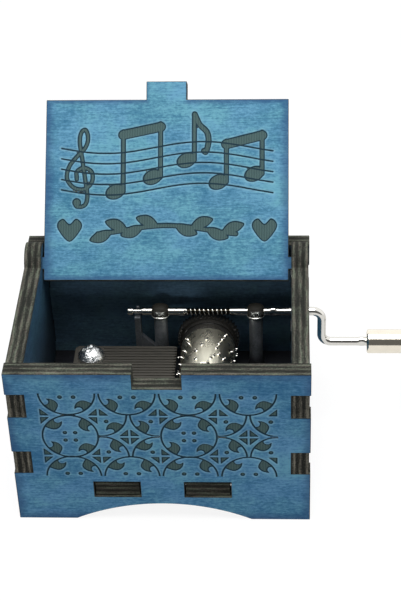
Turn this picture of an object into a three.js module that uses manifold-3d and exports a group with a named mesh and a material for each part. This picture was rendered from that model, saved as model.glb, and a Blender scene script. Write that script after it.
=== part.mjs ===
// A small hand-cranked music box: a finger-jointed plywood case with a hinged lid that holds an
// eighteen-note comb movement. Lengths are in millimetres, angles in degrees, +Z is up, +X is the
// crank's side and +Y is the back. Places are counted from the middle of the case's footprint.

import * as THREE from 'three';
import { mergeVertices } from 'three/addons/utils/BufferGeometryUtils.js';
import Module from 'manifold-3d';

const wasm = await Module();
wasm.setup();

// Driving dimensions

const box = {
  width: 64,
  depth: 49,
  headroom: 8,
  ply: 3.8,
  faceOverhang: 0.3,
  jointGap: 0.15,
};

const finger = {
  height: 6.15,
  belowTop: 5.7,
  pitch: 16.08,
  count: 2,
};

const arch = {
  faceWidth: 38.5,
  sideWidth: 26,
  rise: 4.6,
};

const floor = {
  bottom: 6.95,
  tabWidth: 9.6,
  tabSpacing: 19.7,
  tabRecess: 0.35,
};

const lid = {
  hingeFromBack: 8.2,
  tailLength: 3.6,
  sideGap: 0.6,
  frontGap: 0.3,
  restGap: 0.17,
  tabWidth: 9.3,
  tabSideGap: 0.5,
  tabFloorGap: 0.2,
  tenonWidth: 2.8,
  tenonGap: 0.14,
  tenonProud: 0.6,
  earRadius: 4.3,
  earRise: 0.7,
};

const bed = {
  left: -22.3,
  right: 22,
  frontMargin: 0.9,
  backMargin: 3.7,
  thickness: 2.1,
  cornerRadius: 2,
  windowMargin: 0.4,
  windowInset: 1.3,
};

const shaft = {
  aboveFloor: 17.25,
  fromBack: 10.6,
  radius: 1,
  bearingGap: 0.12,
  leftEnd: -9.4,
  wallGap: 0.6,
};

const worm = {
  pitch: 1,
  pitchRadius: 0.82,
  rootRadius: 0.62,
  rootWidth: 0.6,
  crestWidth: 0.2,
  turns: 10.5,
  runOut: 0.4,
};

const groove = {
  centre: -7.15,
  length: 1.9,
  radius: 0.6,
  chamfer: 0.15,
};

const gear = {
  teeth: 44,
  tipRadius: 7.08,
  rootRadius: 6.6,
  tipWidth: 0.22,
  rootWidth: 0.5,
  width: 2,
  boreGap: 0.12,
};

const boss = {
  rimRadius: 6.1,
  rimLength: 0.8,
  grooveRadius: 5.6,
  grooveLength: 0.7,
  length: 3,
  plugLength: 1.4,
  plugGap: 0.15,
};

const drum = {
  x: 8.95,
  radius: 6.2,
  wall: 0.5,
  length: 17.8,
  seatGap: 0.1,
  pinLength: 0.65,
  pinRadius: 0.2,
  pinRoot: 0.25,
};

const endCap = {
  radius: 6,
  flange: 0.8,
  plugLength: 1.4,
};

const arbor = {
  radius: 1,
  chamfer: 0.2,
  runningGap: 0.12,
};

const comb = {
  teeth: 18,
  pitch: 0.94,
  slit: 0.22,
  aboveAxis: 1.2,
  length: 23.2,
  landLength: 6.4,
  landThickness: 1.6,
  toothThickness: 1,
  nibLength: 0.9,
  nibWidth: 0.42,
  tipGap: 0.2,
  cornerRadius: 1.2,
  packing: 0.6,
  screwFromBack: 3.9,
  screwSpacing: 9,
};

const combSeat = {
  margin: 0.4,
  lead: 1.2,
};

const post = {
  spacing: 21.76,
  radius: 1.55,
  footRadius: 2.2,
  footHeight: 1.2,
};

const ball = {
  radius: 1.8,
  flatBelow: 1.3,
};

const thrust = {
  width: 1.3,
  frontReach: 1.1,
  backReach: 1.9,
  saddleGap: 0.15,
  hornRise: 1.4,
  gussetThickness: 1.2,
  gussetHigh: 9.2,
  gussetLow: 3.75,
};

const lug = {
  thickness: 1.4,
  width: 4.6,
  gap: 0.4,
  headRadius: 2.3,
};

const bracket = {
  thickness: 1.2,
  width: 6.4,
  gap: 0.4,
  headRadius: 2.3,
  footLength: 5.2,
  screwFromFront: 2.6,
};

const combScrew = {
  headRadius: 2.7,
  headHeight: 1.5,
  shankRadius: 1.1,
  length: 4.6,
  slotWidth: 0.5,
  slotDepth: 0.6,
};

const bracketScrew = {
  headRadius: 1.7,
  headHeight: 1.1,
  shankRadius: 0.8,
  length: 2.9,
  slotWidth: 0.4,
  slotDepth: 0.5,
};

const baseScrew = {
  headRadius: 2.6,
  headHeight: 1.5,
  shankRadius: 1.2,
  length: 8,
  slotWidth: 0.6,
  slotDepth: 0.7,
};

const screwHole = {
  gap: 0.25,
  endGap: 0.4,
};

const mountBoss = {
  radius: 2.7,
  height: 4,
  leftInset: 3.7,
  rightInset: 3.4,
  backInset: 3.7,
  frontInset: 3.6,
};

const crank = {
  armFromCase: 3.16,
  bendRadius: 2.2,
  throw: 8.8,
  earOffset: 11.7,
  earLength: 1.9,
  earSpread: 1.35,
  earThickness: 0.75,
  stopFromWall: 4.05,
  stopLength: 1.5,
  headRadius: 1.5,
  headThickness: 0.5,
};

const knob = {
  radius: 2.72,
  length: 12.5,
  chamfer: 0.25,
  boreGap: 0.15,
  endGap: 0.15,
  recessGap: 0.35,
  recessDepth: 0.9,
};

// Counts of facets

const facets = {
  bore: 12,
  wire: 12,
  bend: 6,
  ear: 6,
  thread: 6,
  post: 16,
  drum: 40,
  knob: 28,
  arc: 10,
  corner: 5,
  lathe: 12,
  ball: 12,
  pin: 4,
};

// Latitudes of a screw head's dome
const domeAngles = [35, 65];

const overrun = 0.5;

// Pins that show above the comb, each a track counted from the back and an angle from the drum's
// top, positive away from the comb.
const frontPins = [
  [1, -47], [3, -42], [5, -52], [6, -63], [8, -68], [11, -71], [3, -1], [5, -11], [7, -22], [10, -22],
  [0, 42], [2, 35], [4, 28], [6, 22], [10, 11], [9, 17], [12, 5], [8, 28], [9, 40], [4, 62],
  [0, 83], [2, 87], [6, 73],
];

// The remaining pins: steps of a long stride round the drum, so that no two notes fall together.
const tune = { firstAngle: 96, lastAngle: 276, notes: 46, trackStride: 7 };

// Places that several pieces share

const sideOuter = box.width / 2 - box.faceOverhang;
const sideInner = sideOuter - box.ply;
const faceOuter = box.depth / 2;
const faceInner = faceOuter - box.ply;
const floorTop = floor.bottom + box.ply;
const bedTop = floorTop + bed.thickness;

// The closed lid lies level with the panels' tops, with headroom over the shaft's balls
const shaftZ = floorTop + shaft.aboveFloor;
const boxHeight = shaftZ + ball.radius + box.headroom + box.ply;

const hingeY = faceOuter - lid.hingeFromBack;
const hingeZ = boxHeight - box.ply / 2;

const shaftY = faceOuter - shaft.fromBack;

const gearPitchRadius = gear.teeth * worm.pitch / (2 * Math.PI);
const drumZ = shaftZ - gearPitchRadius - worm.pitchRadius;
const gearFront = shaftY - gear.width / 2;
const gearBack = shaftY + gear.width / 2;
const drumBack = gearFront - boss.length - drum.seatGap;
const drumFront = drumBack - drum.length;
const drumMiddle = (drumBack + drumFront) / 2;
const pinReach = drum.radius + drum.pinLength;

const combTop = drumZ + comb.aboveAxis;
const combTip = drum.x - pinReach - comb.tipGap;
const combBack = combTip - comb.length;
const landEnd = combBack + comb.landLength;
const combWidth = comb.teeth * comb.pitch;
const seatTop = combTop - comb.landThickness - comb.packing;
const combScrewX = combBack + comb.screwFromBack;
const combScrewYs = [drumMiddle + comb.screwSpacing / 2, drumMiddle - comb.screwSpacing / 2];

const postXs = [drum.x - post.spacing / 2, drum.x + post.spacing / 2];
const postTop = shaftZ - ball.flatBelow;

const lugFront = gearBack + lug.gap;
const lugBack = lugFront + lug.thickness;
const capFront = drumFront - drum.seatGap - endCap.flange;
const bracketBack = capFront - bracket.gap;
const bracketFront = bracketBack - bracket.thickness;
const bracketScrewY = bracketFront - bracket.footLength + bracket.screwFromFront;

// The movement's bed reaches from before the bracket's foot to behind the shaft
const bedFront = bracketFront - bracket.footLength - bed.frontMargin;
const bedBack = shaftY + bed.backMargin;

const mountSpots = [
  [bed.left + mountBoss.leftInset, bedBack - mountBoss.backInset],
  [bed.left + mountBoss.leftInset, bedFront + mountBoss.frontInset],
  [bed.right - mountBoss.rightInset, bedFront + mountBoss.frontInset],
];

const armX = sideOuter + crank.armFromCase;
const gripZ = shaftZ - crank.throw;
const earX = sideOuter + crank.earOffset + crank.earLength / 2;
const knobStart = earX + crank.earLength / 2 + knob.endGap;
const knobEnd = knobStart + knob.length;
const wireEnd = knobEnd - knob.endGap;

// Materials

function finish(color, roughness, metalness) {
  return new THREE.MeshStandardMaterial({ color, roughness, metalness });
}

const materials = {
  bluePly: finish(0x3f76a3, 0.75, 0),
  blueLid: finish(0x5b8fb4, 0.75, 0),
  barePly: finish(0x8d7a5c, 0.8, 0),
  casting: finish(0x3c4146, 0.55, 0.6),
  blackResin: finish(0x17181a, 0.35, 0),
  combSteel: finish(0x57504c, 0.45, 0.8),
  brass: finish(0xb08d57, 0.4, 1),
  drumSteel: finish(0xb9b7ae, 0.3, 1),
  brightSteel: finish(0xd8d8d4, 0.2, 1),
};

// Shape helpers

const axisX = new THREE.Vector3(1, 0, 0);
const axisY = new THREE.Vector3(0, 1, 0);
const axisZ = new THREE.Vector3(0, 0, 1);

// An outline drawn in X and Z that is pushed towards the front
const uprightFrame = new THREE.Matrix4().makeBasis(axisX, axisZ, axisY.clone().negate());

// An outline drawn in Y and Z that is pushed to the right
const sidewaysFrame = new THREE.Matrix4().makeBasis(axisY, axisZ, axisX);

function radians(degrees) {
  return THREE.MathUtils.degToRad(degrees);
}

function solid(geometry) {
  const bare = geometry.clone();
  bare.deleteAttribute('normal');
  bare.deleteAttribute('uv');
  const merged = mergeVertices(bare);
  const vertProperties = Float32Array.from(merged.attributes.position.array);
  const triVerts = Uint32Array.from(merged.index.array);
  return new wasm.Manifold(new wasm.Mesh({ numProp: 3, vertProperties, triVerts }));
}

function geometryOf(body) {
  const { vertProperties, triVerts } = body.getMesh();
  const geometry = new THREE.BufferGeometry();
  geometry.setAttribute('position', new THREE.BufferAttribute(Float32Array.from(vertProperties), 3));
  geometry.setIndex(new THREE.BufferAttribute(Uint32Array.from(triVerts), 1));
  geometry.computeVertexNormals();
  return geometry;
}

function join(first, ...others) {
  return others.reduce((whole, piece) => whole.add(piece), first);
}

function cut(first, ...tools) {
  return tools.reduce((whole, tool) => whole.subtract(tool), first);
}

function extrude(shape, depth, curveSegments = facets.arc) {
  return new THREE.ExtrudeGeometry(shape, { depth, bevelEnabled: false, steps: 1, curveSegments });
}

function polygon(points) {
  return new THREE.Shape(points.map(([x, y]) => new THREE.Vector2(x, y)));
}

function block(low, high) {
  const size = high.map((value, i) => value - low[i]);
  const middle = high.map((value, i) => (value + low[i]) / 2);
  return solid(new THREE.BoxGeometry(...size).translate(...middle));
}

// A round bar along X, Y or Z between two places on that axis
function bar(axis, radius, start, end, across, segments = facets.bore) {
  const geometry = new THREE.CylinderGeometry(radius, radius, end - start, segments);
  geometry.translate(0, (start + end) / 2, 0);
  if (axis === 'x') {
    geometry.rotateZ(-Math.PI / 2).translate(0, across[0], across[1]);
  } else if (axis === 'y') {
    geometry.translate(across[0], 0, across[1]);
  } else {
    geometry.rotateX(Math.PI / 2).translate(across[0], across[1], 0);
  }
  return solid(geometry);
}

function turned(profile, segments = facets.lathe) {
  const points = profile.map(([radius, along]) => new THREE.Vector2(radius, along));
  return new THREE.LatheGeometry(points, segments);
}

// A skin over a row of rings with the same number of points, closed by a fan at each end
function loft(rings) {
  const sides = rings[0].length;
  const positions = rings.flat().flatMap((p) => [p.x, p.y, p.z]);
  const indices = [];
  for (let r = 0; r < rings.length - 1; r += 1) {
    for (let s = 0; s < sides; s += 1) {
      const a = r * sides + s;
      const b = r * sides + (s + 1) % sides;
      indices.push(a, b, a + sides);
      indices.push(b, b + sides, a + sides);
    }
  }
  const last = (rings.length - 1) * sides;
  for (let s = 1; s < sides - 1; s += 1) {
    indices.push(0, s + 1, s);
    indices.push(last, last + s, last + s + 1);
  }
  const geometry = new THREE.BufferGeometry();
  geometry.setAttribute('position', new THREE.Float32BufferAttribute(positions, 3));
  geometry.setIndex(indices);
  return geometry;
}

// Case

function fingerSpans() {
  return Array.from({ length: finger.count }, (_, i) => {
    const high = boxHeight - finger.belowTop - i * finger.pitch;
    return [high - finger.height, high];
  });
}

// The arch under a panel, drawn from its left foot to its right foot
function drawArch(shape, width) {
  const half = width / 2;
  const radius = (half * half + arch.rise * arch.rise) / (2 * arch.rise);
  const centre = arch.rise - radius;
  const spread = Math.asin(half / radius);
  shape.absarc(0, centre, radius, Math.PI / 2 + spread, Math.PI / 2 - spread, true);
}

function floorSlots() {
  const half = floor.tabWidth / 2 + box.jointGap;
  const low = floor.bottom - box.jointGap;
  const high = floorTop + box.jointGap;
  return [-1, 1].map((side) => {
    const middle = side * floor.tabSpacing / 2;
    return block([middle - half, -box.ply - overrun, low], [middle + half, overrun, high]);
  });
}

function facePanel(hasNotch) {
  const half = box.width / 2;
  const notchSide = sideInner - box.jointGap;
  const spans = fingerSpans();
  const shape = new THREE.Shape();
  shape.moveTo(half, 0);
  for (const [low, high] of [...spans].reverse()) {
    shape.lineTo(half, low - box.jointGap);
    shape.lineTo(notchSide, low - box.jointGap);
    shape.lineTo(notchSide, high + box.jointGap);
    shape.lineTo(half, high + box.jointGap);
  }
  shape.lineTo(half, boxHeight);
  if (hasNotch) {
    const notchHalf = lid.tabWidth / 2 + lid.tabSideGap;
    const notchFloor = boxHeight - box.ply - lid.tabFloorGap;
    shape.lineTo(notchHalf, boxHeight);
    shape.lineTo(notchHalf, notchFloor);
    shape.lineTo(-notchHalf, notchFloor);
    shape.lineTo(-notchHalf, boxHeight);
  }
  shape.lineTo(-half, boxHeight);
  for (const [low, high] of spans) {
    shape.lineTo(-half, high + box.jointGap);
    shape.lineTo(-notchSide, high + box.jointGap);
    shape.lineTo(-notchSide, low - box.jointGap);
    shape.lineTo(-half, low - box.jointGap);
  }
  shape.lineTo(-half, 0);
  drawArch(shape, arch.faceWidth);
  return geometryOf(cut(solid(extrude(shape, box.ply).applyMatrix4(uprightFrame)), ...floorSlots()));
}

function sidePanel(hasWireHole) {
  const half = faceInner - box.jointGap;
  const spans = fingerSpans();
  const earZ = hingeZ + lid.earRise;
  const earLift = boxHeight - earZ;
  const earHalf = Math.sqrt(lid.earRadius * lid.earRadius - earLift * earLift);
  const earStart = Math.asin(earLift / lid.earRadius);
  const shape = new THREE.Shape();
  shape.moveTo(half, 0);
  for (const [low, high] of [...spans].reverse()) {
    shape.lineTo(half, low);
    shape.lineTo(faceOuter, low);
    shape.lineTo(faceOuter, high);
    shape.lineTo(half, high);
  }
  shape.lineTo(half, boxHeight);
  if (hingeY + earHalf < half) {
    shape.lineTo(hingeY + earHalf, boxHeight);
  }
  shape.absarc(hingeY, earZ, lid.earRadius, earStart, Math.PI - earStart, false);
  shape.lineTo(-half, boxHeight);
  for (const [low, high] of spans) {
    shape.lineTo(-half, high);
    shape.lineTo(-faceOuter, high);
    shape.lineTo(-faceOuter, low);
    shape.lineTo(-half, low);
  }
  shape.lineTo(-half, 0);
  drawArch(shape, arch.sideWidth);
  const tenonReach = Math.hypot(lid.tenonWidth, box.ply) / 2;
  const pivotHole = new THREE.Path();
  pivotHole.absarc(hingeY, hingeZ, tenonReach + lid.tenonGap, 0, 2 * Math.PI);
  shape.holes.push(pivotHole);
  if (hasWireHole) {
    const wireHole = new THREE.Path();
    wireHole.absarc(shaftY, shaftZ, shaft.radius + shaft.wallGap, 0, 2 * Math.PI);
    shape.holes.push(wireHole);
  }
  return extrude(shape, box.ply).applyMatrix4(sidewaysFrame);
}

function floorPanel() {
  const halfX = sideInner - box.jointGap;
  const halfY = faceInner - box.jointGap;
  const tabY = faceOuter - floor.tabRecess;
  const near = (floor.tabSpacing - floor.tabWidth) / 2;
  const far = near + floor.tabWidth;
  const shape = polygon([
    [halfX, -halfY], [halfX, halfY],
    [far, halfY], [far, tabY], [near, tabY], [near, halfY],
    [-near, halfY], [-near, tabY], [-far, tabY], [-far, halfY],
    [-halfX, halfY], [-halfX, -halfY],
    [-far, -halfY], [-far, -tabY], [-near, -tabY], [-near, -halfY],
    [near, -halfY], [near, -tabY], [far, -tabY], [far, -halfY],
  ]);
  for (const [x, y] of mountSpots) {
    const hole = new THREE.Path();
    hole.absarc(x, y, baseScrew.shankRadius + screwHole.gap, 0, 2 * Math.PI);
    shape.holes.push(hole);
  }
  return extrude(shape, box.ply);
}

// The lid lies closed here, with its turning line on the origin and its front towards -Y
function lidPlate() {
  const half = sideInner - lid.sideGap;
  const front = -(hingeY + faceInner - lid.frontGap);
  const tabFront = -(hingeY + faceOuter);
  const tenonEnd = sideOuter + lid.tenonProud;
  const tenonHalf = lid.tenonWidth / 2;
  const tabHalf = lid.tabWidth / 2;
  const shape = polygon([
    [-tabHalf, tabFront], [tabHalf, tabFront], [tabHalf, front], [half, front],
    [half, -tenonHalf], [tenonEnd, -tenonHalf], [tenonEnd, tenonHalf], [half, tenonHalf],
    [half, lid.tailLength], [-half, lid.tailLength],
    [-half, tenonHalf], [-tenonEnd, tenonHalf], [-tenonEnd, -tenonHalf], [-half, -tenonHalf],
    [-half, front], [-tabHalf, front],
  ]);
  return extrude(shape, box.ply).translate(0, 0, -box.ply / 2);
}

// The lid leans back until it rests on the inner top edge of the back panel
function lidElevation() {
  const edgeY = faceInner - hingeY;
  const edgeZ = boxHeight - hingeZ;
  const reach = Math.hypot(edgeY, edgeZ);
  return Math.atan2(edgeZ, edgeY) + Math.asin((box.ply / 2 + lid.restGap) / reach);
}

// Fasteners: a domed head above the origin with crossed slots, and a shank below it

function screw({ headRadius, headHeight, shankRadius, length, slotWidth, slotDepth }) {
  const rim = headHeight / 2;
  const profile = [
    [0, -length], [shankRadius, -length], [shankRadius, 0], [headRadius, 0], [headRadius, rim],
  ];
  for (const degrees of domeAngles) {
    const angle = radians(degrees);
    profile.push([headRadius * Math.cos(angle), rim + rim * Math.sin(angle)]);
  }
  profile.push([0, headHeight]);
  const body = solid(turned(profile).rotateX(Math.PI / 2));
  const reach = headRadius * Math.SQRT1_2;
  const half = slotWidth / 2;
  const bottom = headHeight - slotDepth;
  const top = headHeight + overrun;
  const along = block([-reach, -half, bottom], [reach, half, top]);
  const across = block([-half, -reach, bottom], [half, reach, top]);
  return geometryOf(cut(body, along, across));
}

function screwBore(spot, top, item) {
  const radius = item.shankRadius + screwHole.gap;
  return bar('z', radius, top - item.length - screwHole.endGap, top + overrun, spot);
}

// Movement bed: one casting with the comb seat, posts, thrust post, rear lug and fixing bosses

function roundedPlate() {
  const r = bed.cornerRadius;
  const quarter = Math.PI / 2;
  const shape = new THREE.Shape();
  shape.absarc(bed.right - r, bedFront + r, r, -quarter, 0);
  shape.absarc(bed.right - r, bedBack - r, r, 0, quarter);
  shape.absarc(bed.left + r, bedBack - r, r, quarter, 2 * quarter);
  shape.absarc(bed.left + r, bedFront + r, r, 2 * quarter, 3 * quarter);
  return solid(extrude(shape, bed.thickness).translate(0, 0, floorTop));
}

function uprightLug(style, front, back) {
  const half = style.width / 2;
  const shape = new THREE.Shape();
  shape.moveTo(drum.x - half, bedTop - overrun);
  shape.lineTo(drum.x + half, bedTop - overrun);
  shape.lineTo(drum.x + half, drumZ);
  shape.absarc(drum.x, drumZ, style.headRadius, 0, Math.PI);
  shape.lineTo(drum.x - half, drumZ);
  return solid(extrude(shape, back - front).applyMatrix4(uprightFrame).translate(0, back, 0));
}

function thrustPost() {
  const left = groove.centre - thrust.width / 2;
  const right = groove.centre + thrust.width / 2;
  const front = shaftY - thrust.frontReach;
  const back = shaftY + thrust.backReach;
  const saddle = groove.radius + thrust.saddleGap;
  const stem = block([left, front, bedTop - overrun], [right, back, shaftZ + thrust.hornRise]);
  const seat = bar('x', saddle, left - overrun, right + overrun, [shaftY, shaftZ]);
  const opening = block(
    [left - overrun, front - overrun, shaftZ - shaft.radius],
    [right + overrun, shaftY + saddle, shaftZ + thrust.hornRise + overrun],
  );
  return cut(stem, seat, opening);
}

function gusset() {
  const shape = polygon([
    [groove.centre, bedTop - overrun],
    [postXs[0], bedTop - overrun],
    [postXs[0], bedTop + thrust.gussetLow],
    [groove.centre, bedTop + thrust.gussetHigh],
  ]);
  const half = thrust.gussetThickness / 2;
  const web = extrude(shape, thrust.gussetThickness).applyMatrix4(uprightFrame);
  return solid(web.translate(0, shaftY + half, 0));
}

function bedCasting() {
  const seatHalf = combWidth / 2 + combSeat.margin;
  const seat = block(
    [combBack - combSeat.margin, drumMiddle - seatHalf, bedTop - overrun],
    [landEnd + combSeat.lead, drumMiddle + seatHalf, seatTop],
  );
  const posts = postXs.map((x) => bar('z', post.radius, bedTop - overrun, postTop, [x, shaftY], facets.post));
  const feet = postXs.map((x) => {
    return bar('z', post.footRadius, bedTop - overrun, bedTop + post.footHeight, [x, shaftY], facets.post);
  });
  const bosses = mountSpots.map((spot) => {
    return bar('z', mountBoss.radius, bedTop - overrun, floorTop + mountBoss.height, spot);
  });
  const whole = join(
    roundedPlate(), seat, ...posts, ...feet, ...bosses, thrustPost(), gusset(),
    uprightLug(lug, lugFront, lugBack),
  );
  const windowHalf = pinReach - bed.windowInset;
  const opening = block(
    [drum.x - windowHalf, drumFront - bed.windowMargin, floorTop - overrun],
    [drum.x + windowHalf, gearBack + bed.windowMargin / 2, bedTop + overrun],
  );
  const arborBore = bar(
    'y', arbor.radius + arbor.runningGap, lugFront - overrun, lugBack + overrun, [drum.x, drumZ],
  );
  const combBores = combScrewYs.map((y) => screwBore([combScrewX, y], combTop, combScrew));
  const bracketBore = screwBore([drum.x, bracketScrewY], bedTop + bracket.thickness, bracketScrew);
  const baseBores = mountSpots.map((spot) => {
    const radius = baseScrew.shankRadius + screwHole.gap;
    const end = floor.bottom + baseScrew.length + screwHole.endGap;
    return bar('z', radius, floorTop - overrun, end, spot);
  });
  return geometryOf(cut(whole, opening, arborBore, ...combBores, bracketBore, ...baseBores));
}

// A ball that stands on a post and lets the shaft run through it
function shaftBall() {
  const sphere = solid(new THREE.SphereGeometry(ball.radius, facets.ball, facets.ball).rotateX(Math.PI / 2));
  const reach = ball.radius + overrun;
  const under = block([-reach, -reach, -reach], [reach, reach, -ball.flatBelow]);
  const bore = bar('x', shaft.radius + shaft.bearingGap, -reach, reach, [0, 0]);
  return geometryOf(cut(sphere, under, bore));
}

// Comb: a thick land for the screws and eighteen teeth whose tops are flush with it
function combPlate() {
  const half = combWidth / 2;
  const r = comb.cornerRadius;
  const shape = new THREE.Shape();
  shape.absarc(combBack + r, drumMiddle - half + r, r, Math.PI, 3 * Math.PI / 2);
  for (let i = 0; i < comb.teeth; i += 1) {
    const low = drumMiddle - half + i * comb.pitch + (i > 0 ? comb.slit / 2 : 0);
    const high = drumMiddle - half + (i + 1) * comb.pitch - (i < comb.teeth - 1 ? comb.slit / 2 : 0);
    const middle = drumMiddle - half + (i + 1 / 2) * comb.pitch;
    shape.lineTo(landEnd, low);
    shape.lineTo(combTip - comb.nibLength, low);
    shape.lineTo(combTip, middle - comb.nibWidth / 2);
    shape.lineTo(combTip, middle + comb.nibWidth / 2);
    shape.lineTo(combTip - comb.nibLength, high);
    shape.lineTo(landEnd, high);
  }
  shape.absarc(combBack + r, drumMiddle + half - r, r, Math.PI / 2, Math.PI);
  const toothBottom = combTop - comb.toothThickness;
  const blade = solid(extrude(shape, comb.toothThickness, facets.corner).translate(0, 0, toothBottom));
  const bores = combScrewYs.map((y) => screwBore([combScrewX, y], combTop, combScrew));
  return geometryOf(cut(join(blade, landBlock(combTop - comb.landThickness, combTop)), ...bores));
}

function landBlock(bottom, top) {
  const half = combWidth / 2;
  const r = comb.cornerRadius;
  const shape = new THREE.Shape();
  shape.absarc(combBack + r, drumMiddle - half + r, r, Math.PI, 3 * Math.PI / 2);
  shape.lineTo(landEnd, drumMiddle - half);
  shape.lineTo(landEnd, drumMiddle + half);
  shape.absarc(combBack + r, drumMiddle + half - r, r, Math.PI / 2, Math.PI);
  return solid(extrude(shape, top - bottom, facets.corner).translate(0, 0, bottom));
}

function combPacking() {
  const bores = combScrewYs.map((y) => screwBore([combScrewX, y], combTop, combScrew));
  return geometryOf(cut(landBlock(seatTop, seatTop + comb.packing), ...bores));
}

// Drum: a thin tube with pins on its tracks, one track under each tooth

function drumPins() {
  const pins = [...frontPins];
  const step = (tune.lastAngle - tune.firstAngle) / tune.notes;
  for (let note = 0; note < tune.notes; note += 1) {
    pins.push([(note * tune.trackStride) % comb.teeth, tune.firstAngle + note * step]);
  }
  return pins.map(([track, angle]) => {
    const along = drumMiddle + combWidth / 2 - (track + 1 / 2) * comb.pitch;
    const length = drum.pinLength + drum.pinRoot;
    const pin = new THREE.CylinderGeometry(drum.pinRadius, drum.pinRadius, length, facets.pin);
    pin.rotateX(Math.PI / 2);
    pin.translate(0, 0, drum.radius + (drum.pinLength - drum.pinRoot) / 2);
    pin.rotateY(radians(angle));
    return solid(pin.translate(0, along, 0));
  });
}

function drumTube() {
  const inner = drum.radius - drum.wall;
  const tube = solid(turned([
    [inner, drumFront], [drum.radius, drumFront], [drum.radius, drumBack], [inner, drumBack],
    [inner, drumFront],
  ], facets.drum));
  return geometryOf(join(tube, ...drumPins()));
}

// Gear: teeth that lean with the worm's lead, on a boss whose stepped rim shows behind the drum
function drumGear() {
  const shape = new THREE.Shape();
  for (let i = 0; i < gear.teeth; i += 1) {
    const middle = Math.PI / 2 - i * 2 * Math.PI / gear.teeth;
    const rootAngle = gear.rootWidth / 2 / gear.rootRadius;
    const tipAngle = gear.tipWidth / 2 / gear.tipRadius;
    const corners = [
      [gear.rootRadius, middle + rootAngle], [gear.tipRadius, middle + tipAngle],
      [gear.tipRadius, middle - tipAngle], [gear.rootRadius, middle - rootAngle],
    ];
    for (const [radius, angle] of corners) {
      const x = radius * Math.cos(angle);
      const y = radius * Math.sin(angle);
      if (i === 0 && radius === gear.rootRadius && angle > middle) {
        shape.moveTo(x, y);
      } else {
        shape.lineTo(x, y);
      }
    }
  }
  const disc = extrude(shape, gear.width).applyMatrix4(uprightFrame).translate(0, gear.width / 2, 0);
  const lean = worm.pitch / (2 * Math.PI * worm.pitchRadius) / gearPitchRadius;
  const place = disc.attributes.position;
  const corner = new THREE.Vector3();
  for (let i = 0; i < place.count; i += 1) {
    corner.fromBufferAttribute(place, i).applyAxisAngle(axisY, lean * place.getY(i));
    place.setXYZ(i, corner.x, corner.y, corner.z);
  }
  const face = -gear.width / 2;
  const rimEnd = face - boss.rimLength;
  const grooveEnd = rimEnd - boss.grooveLength;
  const bossEnd = face - boss.length;
  const plugRadius = drum.radius - drum.wall - boss.plugGap;
  const stepped = solid(turned([
    [0, bossEnd - boss.plugLength], [plugRadius, bossEnd - boss.plugLength], [plugRadius, bossEnd],
    [boss.rimRadius, bossEnd], [boss.rimRadius, grooveEnd], [boss.grooveRadius, grooveEnd],
    [boss.grooveRadius, rimEnd], [boss.rimRadius, rimEnd], [boss.rimRadius, 0], [0, 0],
  ], facets.drum));
  const reach = boss.length + boss.plugLength + gear.width;
  const bore = bar('y', arbor.radius + gear.boreGap, -reach, reach, [0, 0]);
  return geometryOf(cut(join(solid(disc), stepped), bore));
}

function frontCap() {
  const inner = drumFront;
  const plugRadius = drum.radius - drum.wall - boss.plugGap;
  const face = inner - drum.seatGap;
  const body = solid(turned([
    [0, capFront], [endCap.radius, capFront], [endCap.radius, face], [plugRadius, face],
    [plugRadius, inner + endCap.plugLength], [0, inner + endCap.plugLength],
  ], facets.drum));
  const boreEnd = inner + endCap.plugLength + overrun;
  const bore = bar('y', arbor.radius + gear.boreGap, capFront - overrun, boreEnd, [0, 0]);
  return geometryOf(cut(body, bore));
}

function arborRod() {
  const front = bracketFront - arbor.chamfer;
  const back = lugBack + arbor.chamfer;
  const small = arbor.radius - arbor.chamfer;
  return turned([
    [0, front], [small, front], [arbor.radius, front + arbor.chamfer],
    [arbor.radius, back - arbor.chamfer], [small, back], [0, back],
  ]);
}

function frontBracket() {
  const half = bracket.width / 2;
  const footTop = bedTop + bracket.thickness;
  const wall = uprightLug(bracket, bracketFront, bracketBack);
  const foot = block(
    [drum.x - half, bracketFront - bracket.footLength, bedTop],
    [drum.x + half, bracketBack, footTop],
  );
  const under = block(
    [drum.x - half - overrun, bracketFront - overrun, bedTop - 2 * overrun],
    [drum.x + half + overrun, bracketBack + overrun, bedTop],
  );
  const arborBore = bar(
    'y', arbor.radius + arbor.runningGap, bracketFront - overrun, bracketBack + overrun, [drum.x, drumZ],
  );
  const bore = screwBore([drum.x, bracketScrewY], footTop, bracketScrew);
  return geometryOf(cut(join(wall, foot), under, arborBore, bore));
}

// Crank: one bent wire with the groove, the rolled worm and two pressed pairs of ears

function wireRing(x, z, turn, radiusAt) {
  const ring = [];
  for (let s = 0; s < facets.wire; s += 1) {
    const angle = s * 2 * Math.PI / facets.wire;
    const side = radiusAt(angle) * Math.cos(angle);
    const lift = radiusAt(angle) * Math.sin(angle);
    ring.push(new THREE.Vector3(x - lift * Math.sin(turn), shaftY + side, z + lift * Math.cos(turn)));
  }
  return ring;
}

// The worm's radius at a place along the shaft: one right-handed thread, whose trough lies over
// the gear's top tooth at rest
function threadRadius(x, angle) {
  const phase = (x - drum.x) / worm.pitch - (angle + Math.PI / 2) / (2 * Math.PI);
  const fromCrest = Math.abs(phase - Math.floor(phase) - 1 / 2) * worm.pitch;
  const crest = worm.crestWidth / 2;
  const foot = worm.rootWidth / 2;
  const share = THREE.MathUtils.clamp((foot - fromCrest) / (foot - crest), 0, 1);
  return worm.rootRadius + share * (shaft.radius - worm.rootRadius);
}

function plainRadius() {
  return shaft.radius;
}

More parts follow.
